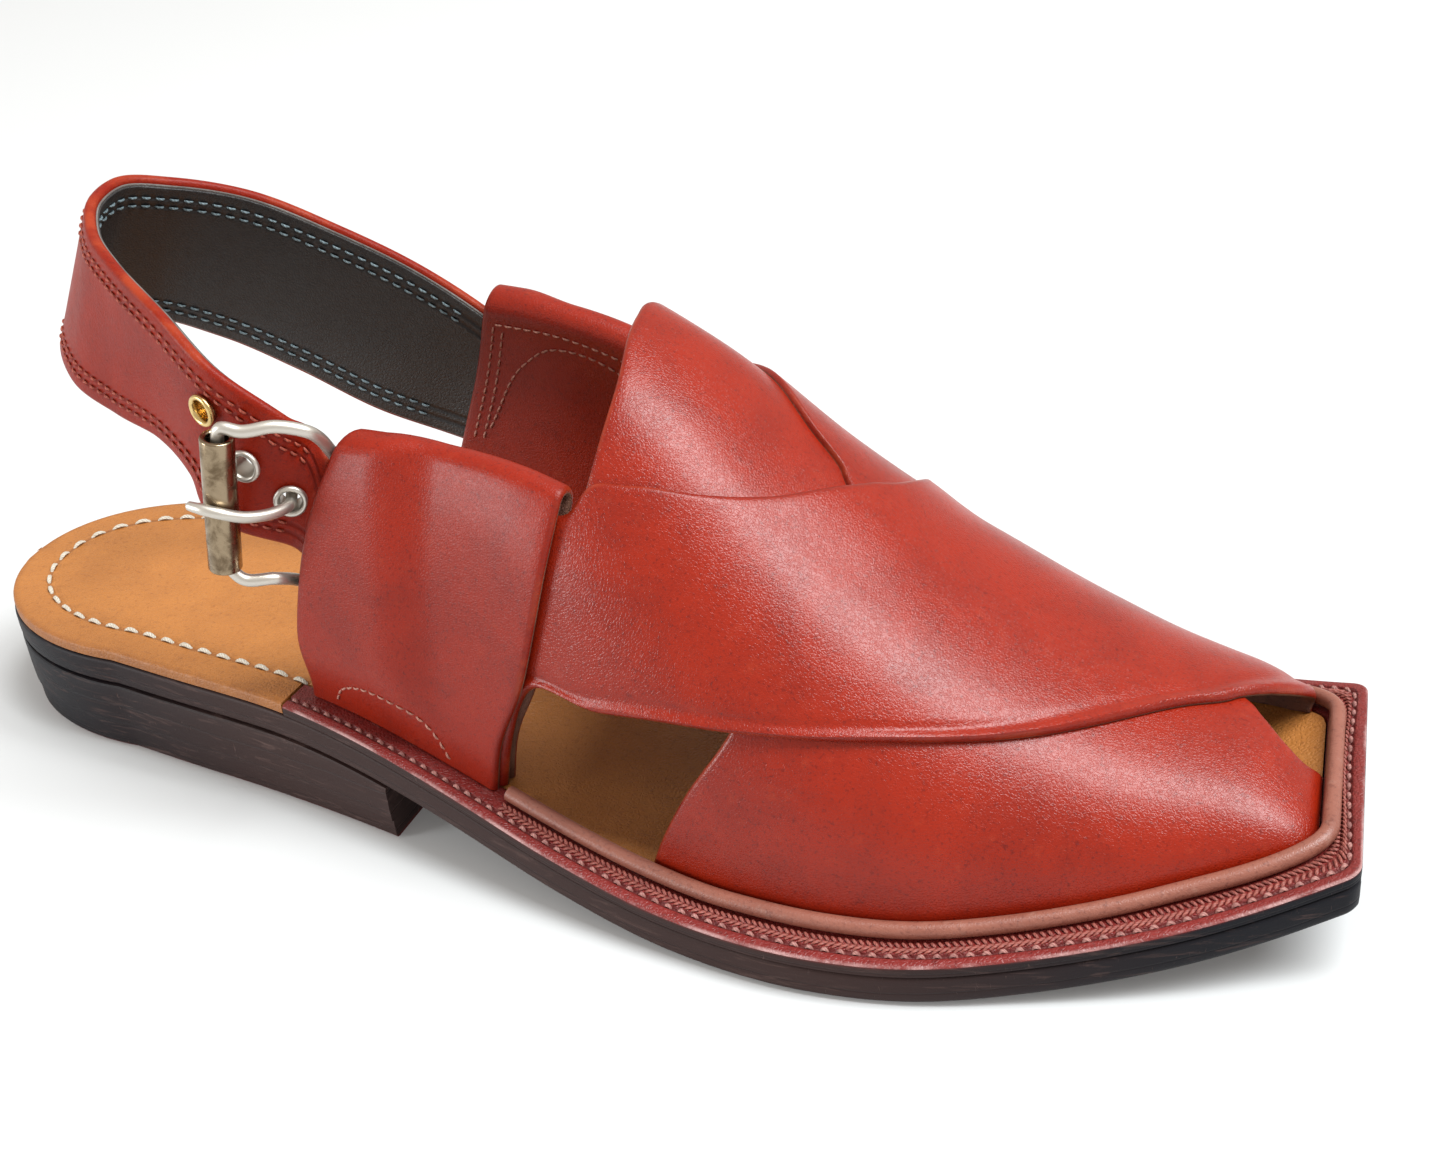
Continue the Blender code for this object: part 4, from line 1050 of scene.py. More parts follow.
def leather_group():
    """Grained leather: mottled, darker at its edges, lighter right at its edges with wear and, on rolled
    edges, a painted highlight, and with channels where it is sewn, darkened with painted shade.
    """
    tree, given, wanted = group(
        "Leather", Edge=0.01, Colour=(0.5, 0.1, 0.05, 1), Deep_Colour=(0.1, 0.01, 0.01, 1),
        Worn_Colour=(0.8, 0.4, 0.3, 1), Grain_Width=0.0006, Grain_Depth=0.03, Mottle=0.5,
        Edge_Width=0.0015, Edge_Dark=0.6, Worn=0.3, Gloss=0.35, Seam=-1.0, Second_Seam=-1.0)
    place, edge = given["Vector"], given["Edge"]
    fine = maths(tree, "DIVIDE", 1.0, given["Grain Width"])
    cells = node(tree, "ShaderNodeTexVoronoi", feature="DISTANCE_TO_EDGE")
    bend = noise(tree, place, 900.0, 2.0)
    moved = node(tree, "ShaderNodeVectorMath", operation="MULTIPLY_ADD")
    feed(tree, moved.inputs[0], bend)
    moved.inputs[1].default_value = (0.0006, 0.0006, 0.0006)
    feed(tree, moved.inputs[2], place)
    feed(tree, cells.inputs["Vector"], moved.outputs[0])
    feed(tree, cells.inputs["Scale"], fine)
    crease = ranged(tree, cells.outputs[0], 0.0, 0.28)
    pores = noise(tree, place, times(tree, fine, 0.85), 3.0, 0.6)
    broad = noise(tree, place, 70.0, 5.0, 0.62, 0.6)
    cloud = noise(tree, place, 420.0, 4.0, 0.6)
    patches = times(tree, ranged(tree, broad, 0.38, 0.68), given["Mottle"])
    specks = times(tree, ranged(tree, pores, 0.52, 0.74), given["Mottle"])
    tone = maths(tree, "ADD", times(tree, patches, 0.38), times(tree, specks, 0.75), clamp=True)
    colour = blend(tree, tone, given["Colour"], given["Deep Colour"])
    light = times(tree, ranged(tree, cloud, 0.55, 0.8), 0.16)
    colour = blend(tree, light, colour, given["Worn Colour"])
    near = maths(tree, "DIVIDE", edge, given["Edge Width"])
    rough_edge = maths(tree, "ADD", near, times(tree, cloud, 0.9))
    dark = times(tree, ranged(tree, rough_edge, 0.45, 1.6, 1.0, 0.0), given["Edge Dark"])
    colour = blend(tree, dark, colour, given["Deep Colour"])
    # The Worn input lightens a band right at the edges: rubbed wear, and on the red straps' rolled edges
    # also a painted highlight.
    rub_and_highlight = times(tree, ranged(tree, near, 0.1, 0.75, 1.0, 0.0), ranged(tree, broad, 0.42, 0.62))
    rub_and_highlight = times(tree, rub_and_highlight, given["Worn"])
    colour = blend(tree, rub_and_highlight, colour, given["Worn Colour"])
    # Seam channels are grooved in the height and darkened towards the deep colour: painted shade in the
    # groove.
    channels = []
    for k, seam in enumerate(("Seam", "Second Seam")):
        gap = maths(tree, "ABSOLUTE", maths(tree, "SUBTRACT", edge, given[seam]))
        channels.append(ranged(tree, gap, 0.0, 0.0008, 1.0, 0.0))
    channel = maths(tree, "MAXIMUM", *channels)
    colour = blend(tree, times(tree, channel, 0.55), colour, given["Deep Colour"])
    gloss = maths(tree, "ADD", given["Gloss"], times(tree, cloud, 0.16))
    gloss = maths(tree, "ADD", gloss, times(tree, channel, 0.2), clamp=True)
    grain = maths(tree, "ADD", crease, times(tree, pores, 0.8))
    grain = times(tree, grain, given["Grain Depth"])
    height = maths(tree, "ADD", grain, times(tree, broad, 0.12))
    height = maths(tree, "SUBTRACT", height, times(tree, channel, 0.3))
    return result(tree, wanted, colour, gloss, height)


def stack_group():
    """The blackened edge of stacked leather: thin lines between layers, scuffs and a worn rim."""
    tree, given, wanted = group(
        "Stacked Edge", Depth=0.0, Colour=(0.03, 0.02, 0.02, 1), Far_Colour=(0.02, 0.03, 0.05, 1),
        Scuff_Colour=(0.2, 0.15, 0.13, 1), Rim_Colour=(0.2, 0.03, 0.03, 1), Layer=0.0042, Rim=0.0,
        Scuffs=0.5)
    place, depth = given["Vector"], given["Depth"]
    wave = noise(tree, stretched(tree, place, (1, 1, 3)), 60.0, 2.0)
    moved = maths(tree, "ADD", depth, times(tree, wave, 0.0009))
    step = maths(tree, "FRACT", maths(tree, "DIVIDE", moved, given["Layer"]))
    line = maths(tree, "ABSOLUTE", maths(tree, "SUBTRACT", step, 0.5))
    line = ranged(tree, line, 0.0, 0.06, 1.0, 0.0)
    level = stretched(tree, place, (1, 1, 9))
    smear = noise(tree, level, 90.0, 6.0, 0.7, 0.8)
    cuts = noise(tree, stretched(tree, place, (6, 1, 1.4)), 230.0, 3.0, 0.6, 1.5)
    grain = noise(tree, place, 2600.0, 3.0, 0.6)
    span = node(tree, "ShaderNodeSeparateXYZ")
    feed(tree, span.inputs[0], place)
    far = ranged(tree, maths(tree, "ABSOLUTE", span.outputs[0]), 0.055, 0.13)
    colour = blend(tree, far, given["Colour"], given["Far Colour"])
    scuff = times(tree, ranged(tree, smear, 0.52, 0.72), given["Scuffs"])
    mark = times(tree, ranged(tree, cuts, 0.66, 0.74), given["Scuffs"])
    colour = blend(tree, scuff, colour, given["Scuff Colour"])
    colour = blend(tree, mark, colour, given["Scuff Colour"])
    colour = blend(tree, times(tree, line, 0.28), colour, (0.005, 0.004, 0.004, 1))
    rim = maths(tree, "ABSOLUTE", maths(tree, "SUBTRACT", moved, given["Rim"]))
    rim = times(tree, ranged(tree, rim, 0.0004, 0.0013, 1.0, 0.0), ranged(tree, smear, 0.3, 0.55))
    colour = blend(tree, rim, colour, given["Rim Colour"])
    rough = maths(tree, "ADD", 0.36, times(tree, smear, 0.3))
    height = maths(tree, "SUBTRACT", times(tree, grain, 0.05), times(tree, line, 0.07))
    height = maths(tree, "SUBTRACT", height, times(tree, mark, 0.15))
    return result(tree, wanted, colour, rough, height)


def metal_group():
    """Plated metal with fine scratches and a dull film in places."""
    tree, given, wanted = group("Worn Metal", Colour=(0.6, 0.58, 0.54, 1),
                                Film_Colour=(0.3, 0.25, 0.2, 1), Film=0.5, Gloss=0.16)
    film = noise(tree, given["Vector"], 260.0, 5.0, 0.65, 0.6)
    scratch = noise(tree, stretched(tree, given["Vector"], (1, 1, 14)), 700.0, 3.0, 0.6)
    part = times(tree, ranged(tree, film, 0.42, 0.7), given["Film"])
    colour = blend(tree, part, given["Colour"], given["Film Colour"])
    rough = maths(tree, "ADD", given["Gloss"], times(tree, part, 0.25))
    rough = maths(tree, "ADD", rough, times(tree, scratch, 0.1))
    height = maths(tree, "ADD", times(tree, scratch, 0.012), times(tree, film, 0.02))
    return result(tree, wanted, colour, rough, height)


def thread_group():
    """Waxed thread with a twist across its length."""
    tree, given, wanted = group("Thread", Place=None, Colour=(0.8, 0.7, 0.6, 1),
                                Shade_Colour=(0.3, 0.2, 0.15, 1), Dirt=0.4)
    twist = node(tree, "ShaderNodeTexWave", wave_type="BANDS", bands_direction="DIAGONAL")
    feed(tree, twist.inputs["Vector"], given["Vector"])
    twist.inputs["Scale"].default_value = 750.0
    twist.inputs["Distortion"].default_value = 0.6
    dirt = noise(tree, given["Place"], 650.0, 3.0, 0.6)
    spots = times(tree, ranged(tree, dirt, 0.4, 0.7), given["Dirt"])
    lines = times(tree, ranged(tree, twist.outputs[1], 0.1, 0.5, 1.0, 0.0), 0.45)
    shade = maths(tree, "MAXIMUM", spots, lines)
    colour = blend(tree, shade, given["Colour"], given["Shade Colour"])
    rough = maths(tree, "ADD", 0.5, times(tree, dirt, 0.2))
    return result(tree, wanted, colour, rough, times(tree, twist.outputs[1], 0.06))


EFFECTS = {"Leather": leather_group, "Stacked Edge": stack_group, "Worn Metal": metal_group,
           "Thread": thread_group}


def surface(name, effect, layer=None, shader=None, **values):
    """A material of one shared effect; values are the effect's inputs, shader holds the shader's."""
    found = bpy.data.materials.get(name)
    if found:
        return found
    made = bpy.data.materials.new(name)
    made.use_nodes = True
    tree = made.node_tree
    tree.nodes.clear()
    place = node(tree, "ShaderNodeTexCoord").outputs["Object"]
    mixed = node(tree, "ShaderNodeGroup", node_tree=bpy.data.node_groups.get(effect) or EFFECTS[effect]())
    bump = node(tree, "ShaderNodeBump")
    principled = node(tree, "ShaderNodeBsdfPrincipled")
    out = node(tree, "ShaderNodeOutputMaterial")
    if effect == "Thread":
        feed(tree, mixed.inputs["Vector"], node(tree, "ShaderNodeUVMap", uv_map="length").outputs[0])
        feed(tree, mixed.inputs["Place"], place)
    else:
        feed(tree, mixed.inputs["Vector"], place)
    if layer:
        read = node(tree, "ShaderNodeAttribute", attribute_name=layer)
        feed(tree, mixed.inputs[layer.capitalize()], read.outputs["Fac"])
    for target, given in ((mixed, values), (principled, shader or {})):
        for key, value in given.items():
            target.inputs[key.replace("_", " ")].default_value = value
    bump.inputs["Strength"].default_value = 1.0
    bump.inputs["Distance"].default_value = 0.001
    feed(tree, bump.inputs["Height"], mixed.outputs["Height"])
    feed(tree, principled.inputs["Base Color"], mixed.outputs["Colour"])
    feed(tree, principled.inputs["Roughness"], mixed.outputs["Roughness"])
    feed(tree, principled.inputs["Normal"], bump.outputs[0])
    feed(tree, out.inputs["Surface"], principled.outputs[0])
    return made


def leather(name, layer="edge", shader=None, **values):
    """A leather material, which knows the distance to the piece's edge."""
    return surface(name, "Leather", layer, shader, **values)


def colour(name, description, *value):
    """A colour that the panel shows."""
    return FloatVectorProperty(name=name, description=description, subtype="COLOR", size=4,
                               min=0.0, max=1.0, default=(*value, 1.0))


def size(name, description, value, least=0.0001):
    """A length that the panel shows."""
    return FloatProperty(name=name, description=description, default=value, min=least, unit="LENGTH")


class ChappalColours(PropertyGroup):
    """Colours of the shoe's materials."""
    red: colour("Strap", "Colour of the straps' leather", 0.26, 0.0125, 0.002)
    deep: colour("Strap shade", "Colour of the straps' darker mottling", 0.11, 0.005, 0.003)
    insole: colour("Insole", "Colour of the insole's leather", 0.42, 0.155, 0.032)
    welt: colour("Welt", "Colour of the welt's leather", 0.19, 0.016, 0.013)
    sole: colour("Sole edge", "Colour of the blackened sole edge", 0.036, 0.018, 0.016)
    lining: colour("Lining", "Colour of the lining", 0.022, 0.017, 0.015)


class ChappalSizes(PropertyGroup):
    """Sizes of the shoe's finer parts."""
    grain: size("Grain", "Width of a cell of the leather's grain", 0.00055)
    thread: size("Thread", "Radius of the sewing thread", 0.00026)
    pitch: size("Stitch", "Distance from one stitch to the next", 0.0024, 0.001)
    cord: size("Welt thread", "Radius of the thread on the welt", 0.00036)


def settings():
    """The shoe's own sizes and colours."""
    return bpy.context.scene.chappal_sizes, bpy.context.scene.chappal_colours


def red_leather(name="red leather", shine=0.3, **changes):
    """The straps' polished leather; shine is its specular level."""
    sizes, colours = settings()
    # Worn lightens the rolled edges: partly wear, partly a painted highlight.
    values = dict(Colour=tuple(colours.red), Deep_Colour=tuple(colours.deep),
                  Worn_Colour=(0.42, 0.06, 0.018, 1), Grain_Width=sizes.grain, Grain_Depth=0.03,
                  Mottle=0.8, Edge_Width=0.0016, Edge_Dark=0.45, Worn=0.35, Gloss=0.235)
    values.update(changes)
    return leather(name, shader={"Coat_Weight": shine / 3, "Coat_Roughness": 0.22,
                                 "Specular_IOR_Level": shine}, **values)


def lining_leather():
    """The dark lining of the heel strap, with the channels of its two seams."""
    sizes, colours = settings()
    return leather("lining", Colour=tuple(colours.lining), Deep_Colour=(0.006, 0.006, 0.008, 1),
                   Worn_Colour=(0.08, 0.07, 0.065, 1), Grain_Width=sizes.grain * 1.3,
                   Grain_Depth=0.05, Mottle=0.5, Edge_Width=0.001, Edge_Dark=0.5, Worn=0.3,
                   Gloss=0.42, Seam=0.0026, Second_Seam=0.0046)


def flesh_leather():
    """The rougher inner face of the straps and loops."""
    sizes, _ = settings()
    return leather("flesh side", Colour=(0.16, 0.055, 0.03, 1), Deep_Colour=(0.05, 0.018, 0.012, 1),
                   Worn_Colour=(0.35, 0.17, 0.1, 1), Grain_Width=sizes.grain * 0.7, Grain_Depth=0.08,
                   Mottle=0.8, Edge_Width=0.001, Edge_Dark=0.3, Worn=0.3, Gloss=0.62)


def sole_material(name, layer, scuffs=0.5):
    """The blackened edge of the sole, in layers of a given height."""
    _, colours = settings()
    return surface(name, "Stacked Edge", "depth", {"Specular_IOR_Level": 0.16},
                   Colour=tuple(colours.sole), Far_Colour=(0.006, 0.006, 0.009, 1), Layer=layer,
                   Rim=0.0, Scuff_Colour=(0.11, 0.065, 0.057, 1), Rim_Colour=(0.14, 0.02, 0.018, 1),
                   Scuffs=scuffs)


def metal(name, colour, film, amount):
    """Plated metal; film is the colour of its dull parts."""
    return surface(name, "Worn Metal", None, {"Metallic": 1.0}, Colour=colour, Film_Colour=film,
                   Film=amount, Gloss=0.15)


def thread(name, colour, shade, dirt=0.4):
    """Sewing thread; shade is the colour between its twists."""
    return surface(name, "Thread", Colour=colour, Shade_Colour=shade, Dirt=dirt)


# Operators

class CHAPPAL_OT_upper(Operator):
    """Build the two crossed straps and the tongue under them"""
    bl_idname = "chappal.upper"
    bl_label = "Straps"

    def execute(self, context):
        red, flesh = red_leather(), flesh_leather()
        top_foot = [TOP_STRAP_FRONT[0], TOP_STRAP_BACK[0]]
        top_toe = [TOP_STRAP_FRONT[-1], (262, 1.0), (215, 1.0), TOP_STRAP_BACK[-1]]
        under_foot = [UNDER_STRAP_FRONT[-1], UNDER_STRAP_BACK[-1]]
        straps = [
            # name, edges, distance off the last, points along and across, rolled edge, feet
            ("top_strap", (top_foot, top_toe, TOP_STRAP_FRONT, TOP_STRAP_BACK),
             lay_off_top, 230, 70, 0.45, True),
            ("under_strap", (UNDER_STRAP_TOE, under_foot, UNDER_STRAP_FRONT, UNDER_STRAP_BACK),
             lay_off_under, 230, 80, 0.0, True),
            ("tongue", (TONGUE_OUTER, TONGUE_INNER, TONGUE_BACK, TONGUE_FRONT),
             lay_off_tongue, 90, 36, 0.0, False),
        ]
        for name, edges, lay_off, along, across, fold, feet in straps:
            rim = 1.25 if fold else 0.95
            faces = strap_on_last(edges, lay_off, along, across, WALL / 2, rim, fold, feet)
            sheet(name, *faces, [red, flesh], "upper", "red_leather")
        return {"FINISHED"}


class CHAPPAL_OT_loops(Operator):
    """Build the folded loops at both sides of the foot"""
    bl_idname = "chappal.loops"
    bl_label = "Loops"

    def execute(self, context):
        for name in LOOPS:
            build_loop(name, [red_leather("loop leather", 0.24, Gloss=0.34), flesh_leather()])
        return {"FINISHED"}


class CHAPPAL_OT_heel_strap(Operator):
    """Build the strap round the heel, with its lining and the grey ply between them"""
    bl_idname = "chappal.heel_strap"
    bl_label = "Heel strap"

    def execute(self, context):
        grey = leather("ply", Colour=(0.20, 0.17, 0.15, 1), Deep_Colour=(0.05, 0.04, 0.04, 1),
                       Worn_Colour=(0.35, 0.32, 0.3, 1), Grain_Width=0.0005, Grain_Depth=0.05, Gloss=0.6)
        outer = red_leather("strap leather", 0.14, Edge_Width=0.0014, Edge_Dark=0.3, Worn=0.5, Gloss=0.34,
                            Seam=0.0034, Second_Seam=0.0054)
        layers = [
            # name, inset of its edges, level, half its thickness, points across, leather, node, wave
            ("heel_strap", 0.0, 0.15, 1.15, 30, outer, "heel_strap", 0.05),
            ("heel_ply", 0.9, -1.1, 0.22, 6, grey, None, 0.0),
            ("heel_lining", 1.3, -1.42, 0.24, 40, lining_leather(), None, 0.0),
        ]
        made = [strap_sheet(name, inset, level, half, count, [skin, skin], node_name, wave)
                for name, inset, level, half, count, skin, node_name, wave in layers]
        bpy.ops.object.select_all(action="DESELECT")
        for k, (x, z) in enumerate(EYELETS):
            distance, rise = strap_spot(x, z)
            low, high = in_frame(strap_at([distance] * 2, [rise] * 2, [-6.0, 6.0]))
            way = Vector(high - low)
            bpy.ops.mesh.primitive_cylinder_add(vertices=40, radius=EYELET_HOLE * MM, depth=way.length,
                                                location=Vector((low + high) / 2),
                                                rotation=way.to_track_quat("Z", "Y").to_euler())
            drill = bpy.context.object
            for thing in made:
                cut = thing.modifiers.new("hole", "BOOLEAN")
                cut.operation = "DIFFERENCE"
                cut.solver = "EXACT"
                cut.object = drill
                bpy.context.view_layer.objects.active = thing
                bpy.ops.object.modifier_apply(modifier="hole")
            bpy.data.objects.remove(drill, do_unlink=True)
        return {"FINISHED"}


class CHAPPAL_OT_sole(Operator):
    """Build the outsole, heel, insole, welt and piping"""
    bl_idname = "chappal.sole"
    bl_label = "Sole"

    def execute(self, context):
        sizes, colours = settings()

        def low(rise):
            return lambda x: top_height(x) - SOLE_STACK + rise

        def share(part, rise):
            return lambda x: part * (top_height(x) - SOLE_STACK - GAP) + rise

        top = SOLE_STACK - TOP_LAYER - GAP
        profile = [(inset, low(rise)) for inset, rise in (
            (1.3, 0.0), (0.7, 0.15), (0.25, 0.6), (0.05, 1.2), (0.0, 2.0),
            (0.0, top - 0.9), (0.1, top - 0.4), (0.35, top - 0.1), (0.7, top))]
        edge = sole_material("sole edge", 0.0042)
        slab("outsole", 0.15, SHOE_LENGTH, profile, [edge], "outsole")
        profile = [(inset, share(part, rise)) for inset, part, rise in (
            (1.5, 0, 0.0), (0.9, 0, 0.15), (0.55, 0, 0.7), (0.5, 0.30, 0.0), (0.62, 0.335, 0.0),
            (0.1, 0.37, 0.0), (0.0, 0.6, 0.0), (0.0, 1, -0.6), (0.3, 1, -0.1), (0.7, 1, 0.0))]
        heel = sole_material("heel edge", 0.0046, 0.7)
        slab("heel_block", 0.15, HEEL_BREAST, profile, [heel], "heel_block", floor=True)
        tan = leather("insole leather", Colour=tuple(colours.insole), Deep_Colour=(0.20, 0.060, 0.012, 1),
                      Worn_Colour=(0.44, 0.22, 0.08, 1), Grain_Width=0.0009, Grain_Depth=0.07, Mottle=0.5,
                      Edge_Width=0.002, Edge_Dark=0.55, Worn=0.0, Gloss=0.46, Seam=SEAT_SEAM * MM)
        build_insole([tan])
        rim = leather("welt leather", Colour=tuple(colours.welt), Deep_Colour=(0.05, 0.005, 0.005, 1),
                      Worn_Colour=(0.42, 0.23, 0.22, 1), Grain_Width=0.0008, Grain_Depth=0.08, Mottle=0.6,
                      Edge_Width=0.0010, Edge_Dark=0.1, Worn=1.0, Gloss=0.38, Seam=WELT_SEAM * MM)
        build_welt([rim, edge], welt_contour())
        cord = leather("piping leather", None, Colour=(0.25, 0.085, 0.056, 1),
                       Deep_Colour=(0.09, 0.02, 0.014, 1), Worn_Colour=(0.45, 0.30, 0.24, 1),
                       Grain_Width=0.0006, Grain_Depth=0.02, Mottle=0.7, Gloss=0.35,
                       Edge_Dark=0.0, Worn=0.0)
        loft("piping", tube_rows(piping_path(), CORD_RADIUS), [cord], "piping")
        return {"FINISHED"}


class CHAPPAL_OT_stitching(Operator):
    """Sew the heel strap, loops, insole and welt"""
    bl_idname = "chappal.stitching"
    bl_label = "Stitching"

    def execute(self, context):
        sizes, _ = settings()
        thin, pitch, thick = sizes.thread / MM, sizes.pitch / MM, sizes.cord / MM
        red = thread("red thread", (0.40, 0.075, 0.04, 1), (0.08, 0.006, 0.006, 1))
        blue = thread("blue grey thread", (0.20, 0.27, 0.30, 1), (0.04, 0.06, 0.075, 1), 0.6)
        white = thread("white thread", (0.62, 0.57, 0.48, 1), (0.26, 0.19, 0.12, 1), 0.3)
        pink = thread("pale red thread", (0.48, 0.21, 0.16, 1), (0.16, 0.03, 0.02, 1))
        braid = thread("welt thread", (0.29, 0.075, 0.055, 1), (0.10, 0.012, 0.010, 1), 0.6)
        dash = thread("worn welt thread", (0.38, 0.17, 0.145, 1), (0.10, 0.018, 0.018, 1), 0.7)

        for name, level, insets, long, colour_of in (("strap_stitches", 1.32, (3.4, 5.4), 1.0, red),
                                                     ("lining_stitches", -1.68, (3.9, 5.9), 1.15, blue)):
            seams = [strap_seam(edge, inset, level) for edge in (1, -1) for inset in insets]
            sewn = joined([along_path(*row, pitch * long) for row in seams])
            stitches(name, *sewn, thin, colour_of, "red_leather")

        seat = outline(SEAT_SEAM, SEAT_SEAM_START, "heel")
        seat = np.column_stack([seat, top_height(seat[:, 0]) + 0.02])
        sewn = along_path(seat, upright(len(seat)), 5.2, 0.78)
        stitches("insole_stitches", *sewn, 0.46, white, "insole_leather", 0.9)

        arc = [(0.15, 0.03), (0.19, 0.09), (0.28, 0.13), (0.42, 0.145), (0.58, 0.125), (0.70, 0.07),
               (0.77, 0.02)]
        rows = [loop_seam("outer_loop", arc)]
        back = [(0.07, 0.30), (0.07, 0.6), (0.07, 0.93)]
        second = [(0.12, 0.30), (0.12, 0.6), (0.12, 0.9)]
        top = [(0.07, 0.945), (0.5, 0.95), (0.95, 0.945)]
        arch = [(0.14, 0.35), (0.25, 0.72), (0.38, 0.85), (0.58, 0.88), (0.78, 0.84), (0.90, 0.76)]
        rows += [loop_seam("inner_loop", row, 80, True) for row in (back, second, top, arch)]
        sewn = joined([along_path(*row, pitch * 0.9, 0.86) for row in rows])
        stitches("loop_stitches", *sewn, thin * 0.85, pink, "red_leather")

        outer, inner = welt_contour()
        width = np.linalg.norm(inner - outer, axis=1)
        line = welt_at(outer, inner, WELT_SEAM + 0 * width, -0.26)
        sewn = along_path(line, upright(len(line)), 2.7, 0.62)
        stitches("welt_stitches", *sewn, thick * 1.05, dash, "welt_leather", 1.0)

        used = outer[:, 0] > CORD_START - 1
        out, inn, wide = outer[used], inner[used], width[used]
        first, last = WELT_RIM + 0 * wide, np.maximum(wide - 3.0, 4.6)
        run = running(welt_at(out, inn, first, 0.0))
        count = int(run[-1] / BRAID_PITCH)
        at = (np.arange(count) + 0.5) * run[-1] / count
        pieces = []
        for edge_line in (first, last):
            tip = welt_at(out, inn, (first + last) / 2, 0.12)
            arm = welt_at(out, inn, edge_line, 0.10)
            starts, ends = read_off(at + 0.9, run, tip), read_off(at - 0.6, run, arm)
            pieces.append([starts, ends, upright(count)])
        stitches("welt_braid", *joined(pieces), thick * 0.8, braid, "welt_leather", 0.6)
        return {"FINISHED"}


class CHAPPAL_OT_buckle(Operator):
    """Build the buckle's wire frame, roller and prong, and the strap's eyelets"""
    bl_idname = "chappal.buckle"
    bl_label = "Buckle"

    def execute(self, context):
        nickel = metal("nickel", (0.62, 0.56, 0.47, 1), (0.26, 0.19, 0.12, 1), 0.6)
        # The roller's nickel is darkened to a brownish colour that paints the dark reflection it shows; its
        # dull film is the metal's own.
        dark_reflection_nickel = metal("nickel with painted dark reflection", (0.34, 0.26, 0.17, 1), (0.10, 0.065, 0.035, 1), 0.8)
        brass = metal("brass", (0.80, 0.60, 0.27, 1), (0.40, 0.24, 0.08, 1), 0.5)
        low, high = (np.array(end) for end in ROLLER_ENDS)
        bar = [on_last(x, girth, off) for x, girth, off in WIRE_BAR]
        straight = [low + (high - low) * share for share in (0.05, 0.5, 0.95)]
        path = rounded([*bar, *WIRE_BOTTOM, *straight, *WIRE_TOP], 260, closed=True)
        loft("buckle_frame", tube_rows(path, WIRE_RADIUS, 20, True), [nickel], "buckle_frame",
             closed=True)

        axis = (high - low) / np.linalg.norm(high - low)
        u = np.cross(axis, [0.0, 1.0, 0.0])
        u /= np.linalg.norm(u)
        v = np.cross(axis, u)
        length = np.linalg.norm(high - low)
        bevel = [(0.0, 0.25), (0.08, 0.08), (0.25, 0.0)]
        rows = [(ROLLER_BORE, 0.2), (ROLLER_BORE + 0.2, 0.0)]
        rows += [(ROLLER_RADIUS - r, a) for a, r in bevel]
        rows += [(ROLLER_RADIUS, length * s) for s in (0.25, 0.5, 0.75)]
        rows += [(ROLLER_RADIUS - r, length - a) for a, r in bevel[::-1]]
        rows += [(ROLLER_BORE + 0.2, length), (ROLLER_BORE, length - 0.2)]
        turn = np.arange(64) * 2 * math.pi / 64
        rings = [[low + axis * a + r * (math.cos(t) * u + math.sin(t) * v) for r, a in rows] for t in turn]
        loft("buckle_roller", np.array(rings), [dark_reflection_nickel], "buckle_roller", closed=True)

        distance, rise = strap_spot(*EYELETS[0])
        start = [on_last(104.8, -0.66, 1.2), on_last(102.8, -0.645, -0.1)]
        through_hole = [strap_at(distance, rise, off) for off in (-3.4, 0.0, 2.6)]
        path = rounded([*start, *through_hole, *PRONG_PATH], 120)
        size = PRONG_RADIUS * np.interp(np.linspace(0, 1, 120), [0, 0.9, 0.985, 1.0], [1.0, 0.98, 0.8, 0.3])
        loft("buckle_prong", tube_rows(path, size, 20), [nickel], "buckle_prong")

        turn = np.arange(48) * 2 * math.pi / 48
        face = STRAP_THICK / 2 + 0.6
        rows = [(EYELET_BORE, -face - 0.5), (EYELET_BORE, face - 0.3), (EYELET_BORE + 0.08, face + 0.25)]
        swell = np.linspace(math.pi * 0.95, -math.pi * 0.1, 9)
        middle = (EYELET_BORE + 0.1 + EYELET_FLANGE) / 2
        reach = (EYELET_FLANGE - EYELET_BORE - 0.1) / 2
        rows += [(middle + reach * math.cos(t), face + 0.2 + 0.6 * math.sin(t)) for t in swell]
        rows += [(EYELET_OUTSIDE, face - 0.2), (EYELET_OUTSIDE, -face), (EYELET_FLANGE, -face - 0.05),
                 (EYELET_FLANGE - 0.3, -face - 0.5)]
        for k, (x, z) in enumerate(EYELETS):
            distance, rise = strap_spot(x, z)
            centre = strap_at(distance, rise, 0.0)
            out = strap_at(distance, rise, 1.0) - centre
            u = strap_at(distance, rise + 1.0, 0.0) - centre
            v = np.cross(out, u)
            rings = [[centre + r * (math.cos(t) * u + math.sin(t) * v) + out * level for r, level in rows]
                     for t in turn]
            loft(f"eyelet_{k + 1}", np.array(rings), [brass if k == 2 else nickel], f"eyelet_{k + 1}",
                 closed=True, angle=60.0)
        return {"FINISHED"}


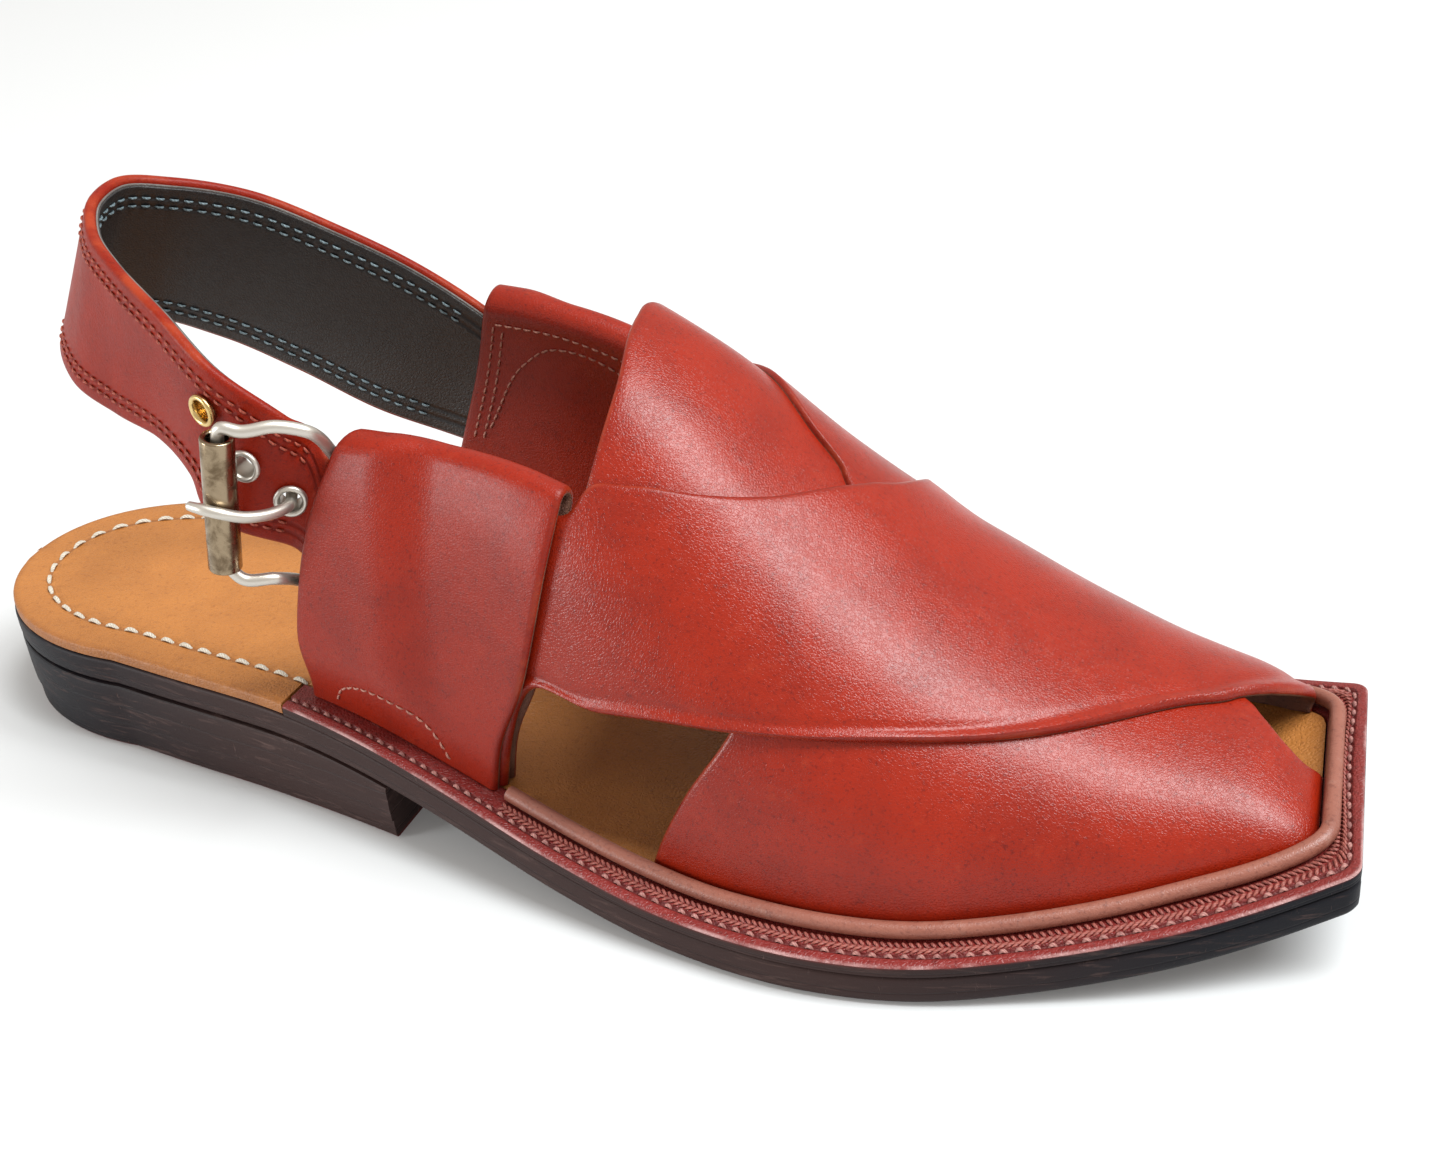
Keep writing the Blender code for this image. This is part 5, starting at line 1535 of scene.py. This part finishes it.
class CHAPPAL_OT_stage(Operator):
    """Set the pale floor, the soft studio light and the camera of the picture"""
    bl_idname = "chappal.stage"
    bl_label = "Studio"

    def execute(self, context):
        scene = context.scene
        scene.view_settings.view_transform = "Standard"
        world = bpy.data.worlds.new("studio")
        scene.world = world
        world.use_nodes = True
        sky = world.node_tree.nodes["Background"]
        sky.inputs["Color"].default_value = (1.0, 0.93, 0.86, 1.0)
        sky.inputs["Strength"].default_value = 0.65
        bpy.ops.object.select_all(action="DESELECT")
        bpy.ops.mesh.primitive_plane_add(size=6.0, location=(0.0, 0.0, -0.0002))
        floor = bpy.context.object
        floor.name = "floor"
        paint = bpy.data.materials.new("floor")
        paint.use_nodes = True
        shader = paint.node_tree.nodes["Principled BSDF"]
        for key, value in (("Base Color", (0.53, 0.53, 0.53, 1.0)), ("Roughness", 0.9),
                           ("Specular IOR Level", 0.1), ("Emission Color", (1.0, 1.0, 1.0, 1.0)),
                           ("Emission Strength", 0.08)):
            shader.inputs[key].default_value = value
        floor.data.materials.append(paint)
        for name, place, aim, sides, power in LIGHTS:
            bpy.ops.object.light_add(type="AREA", location=place)
            light = bpy.context.object
            light.name = name
            light.data.shape = "RECTANGLE"
            light.data.size, light.data.size_y = sides
            light.data.energy = power
            light.data.color = (0.93, 0.98, 1.0)
            way = Vector(aim) - Vector(place)
            light.rotation_euler = way.to_track_quat("-Z", "Y").to_euler()
        place = Vector(CAMERA_PLACE)
        back = (place - Vector(CAMERA_AIM)).normalized()
        right = Vector(CAMERA_RIGHT)
        right = (right - back * right.dot(back)).normalized()
        up = back.cross(right)
        bpy.ops.object.camera_add(location=place)
        camera = bpy.context.object
        camera.matrix_world = Matrix.Translation(place) @ Matrix((right, up, back)).transposed().to_4x4()
        camera.data.sensor_width = SENSOR
        camera.data.lens = FOCAL_PIXELS / PICTURE_PIXELS * SENSOR
        camera.data.clip_start = 0.01
        scene.camera = camera
        return {"FINISHED"}


class CHAPPAL_PT_panel(Panel):
    """The shoe's sizes, colours and steps"""
    bl_label = "Chappal"
    bl_idname = "CHAPPAL_PT_panel"
    bl_space_type = "VIEW_3D"
    bl_region_type = "UI"
    bl_category = "Chappal"

    def draw(self, context):
        box = self.layout.box()
        for key in ("grain", "thread", "pitch", "cord"):
            box.prop(context.scene.chappal_sizes, key)
        box = self.layout.box()
        for key in ("red", "deep", "insole", "welt", "sole", "lining"):
            box.prop(context.scene.chappal_colours, key)
        steps = self.layout.column()
        for step in STEPS:
            steps.operator(step.bl_idname)


STEPS = (CHAPPAL_OT_upper, CHAPPAL_OT_loops, CHAPPAL_OT_heel_strap, CHAPPAL_OT_sole, CHAPPAL_OT_stitching,
         CHAPPAL_OT_buckle, CHAPPAL_OT_stage)
CLASSES = (ChappalColours, ChappalSizes, *STEPS, CHAPPAL_PT_panel)


def register():
    for each in CLASSES:
        bpy.utils.register_class(each)
    bpy.types.Scene.chappal_colours = PointerProperty(type=ChappalColours)
    bpy.types.Scene.chappal_sizes = PointerProperty(type=ChappalSizes)


def unregister():
    del bpy.types.Scene.chappal_sizes
    del bpy.types.Scene.chappal_colours
    for each in reversed(CLASSES):
        bpy.utils.unregister_class(each)


def main():
    """Build the shoe and its studio."""
    register()
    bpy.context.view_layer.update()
    bpy.ops.chappal.upper()
    bpy.ops.chappal.loops()
    bpy.ops.chappal.heel_strap()
    bpy.ops.chappal.sole()
    bpy.ops.chappal.stitching()
    bpy.ops.chappal.buckle()
    bpy.ops.chappal.stage()


if __name__ == "__main__":
    main()
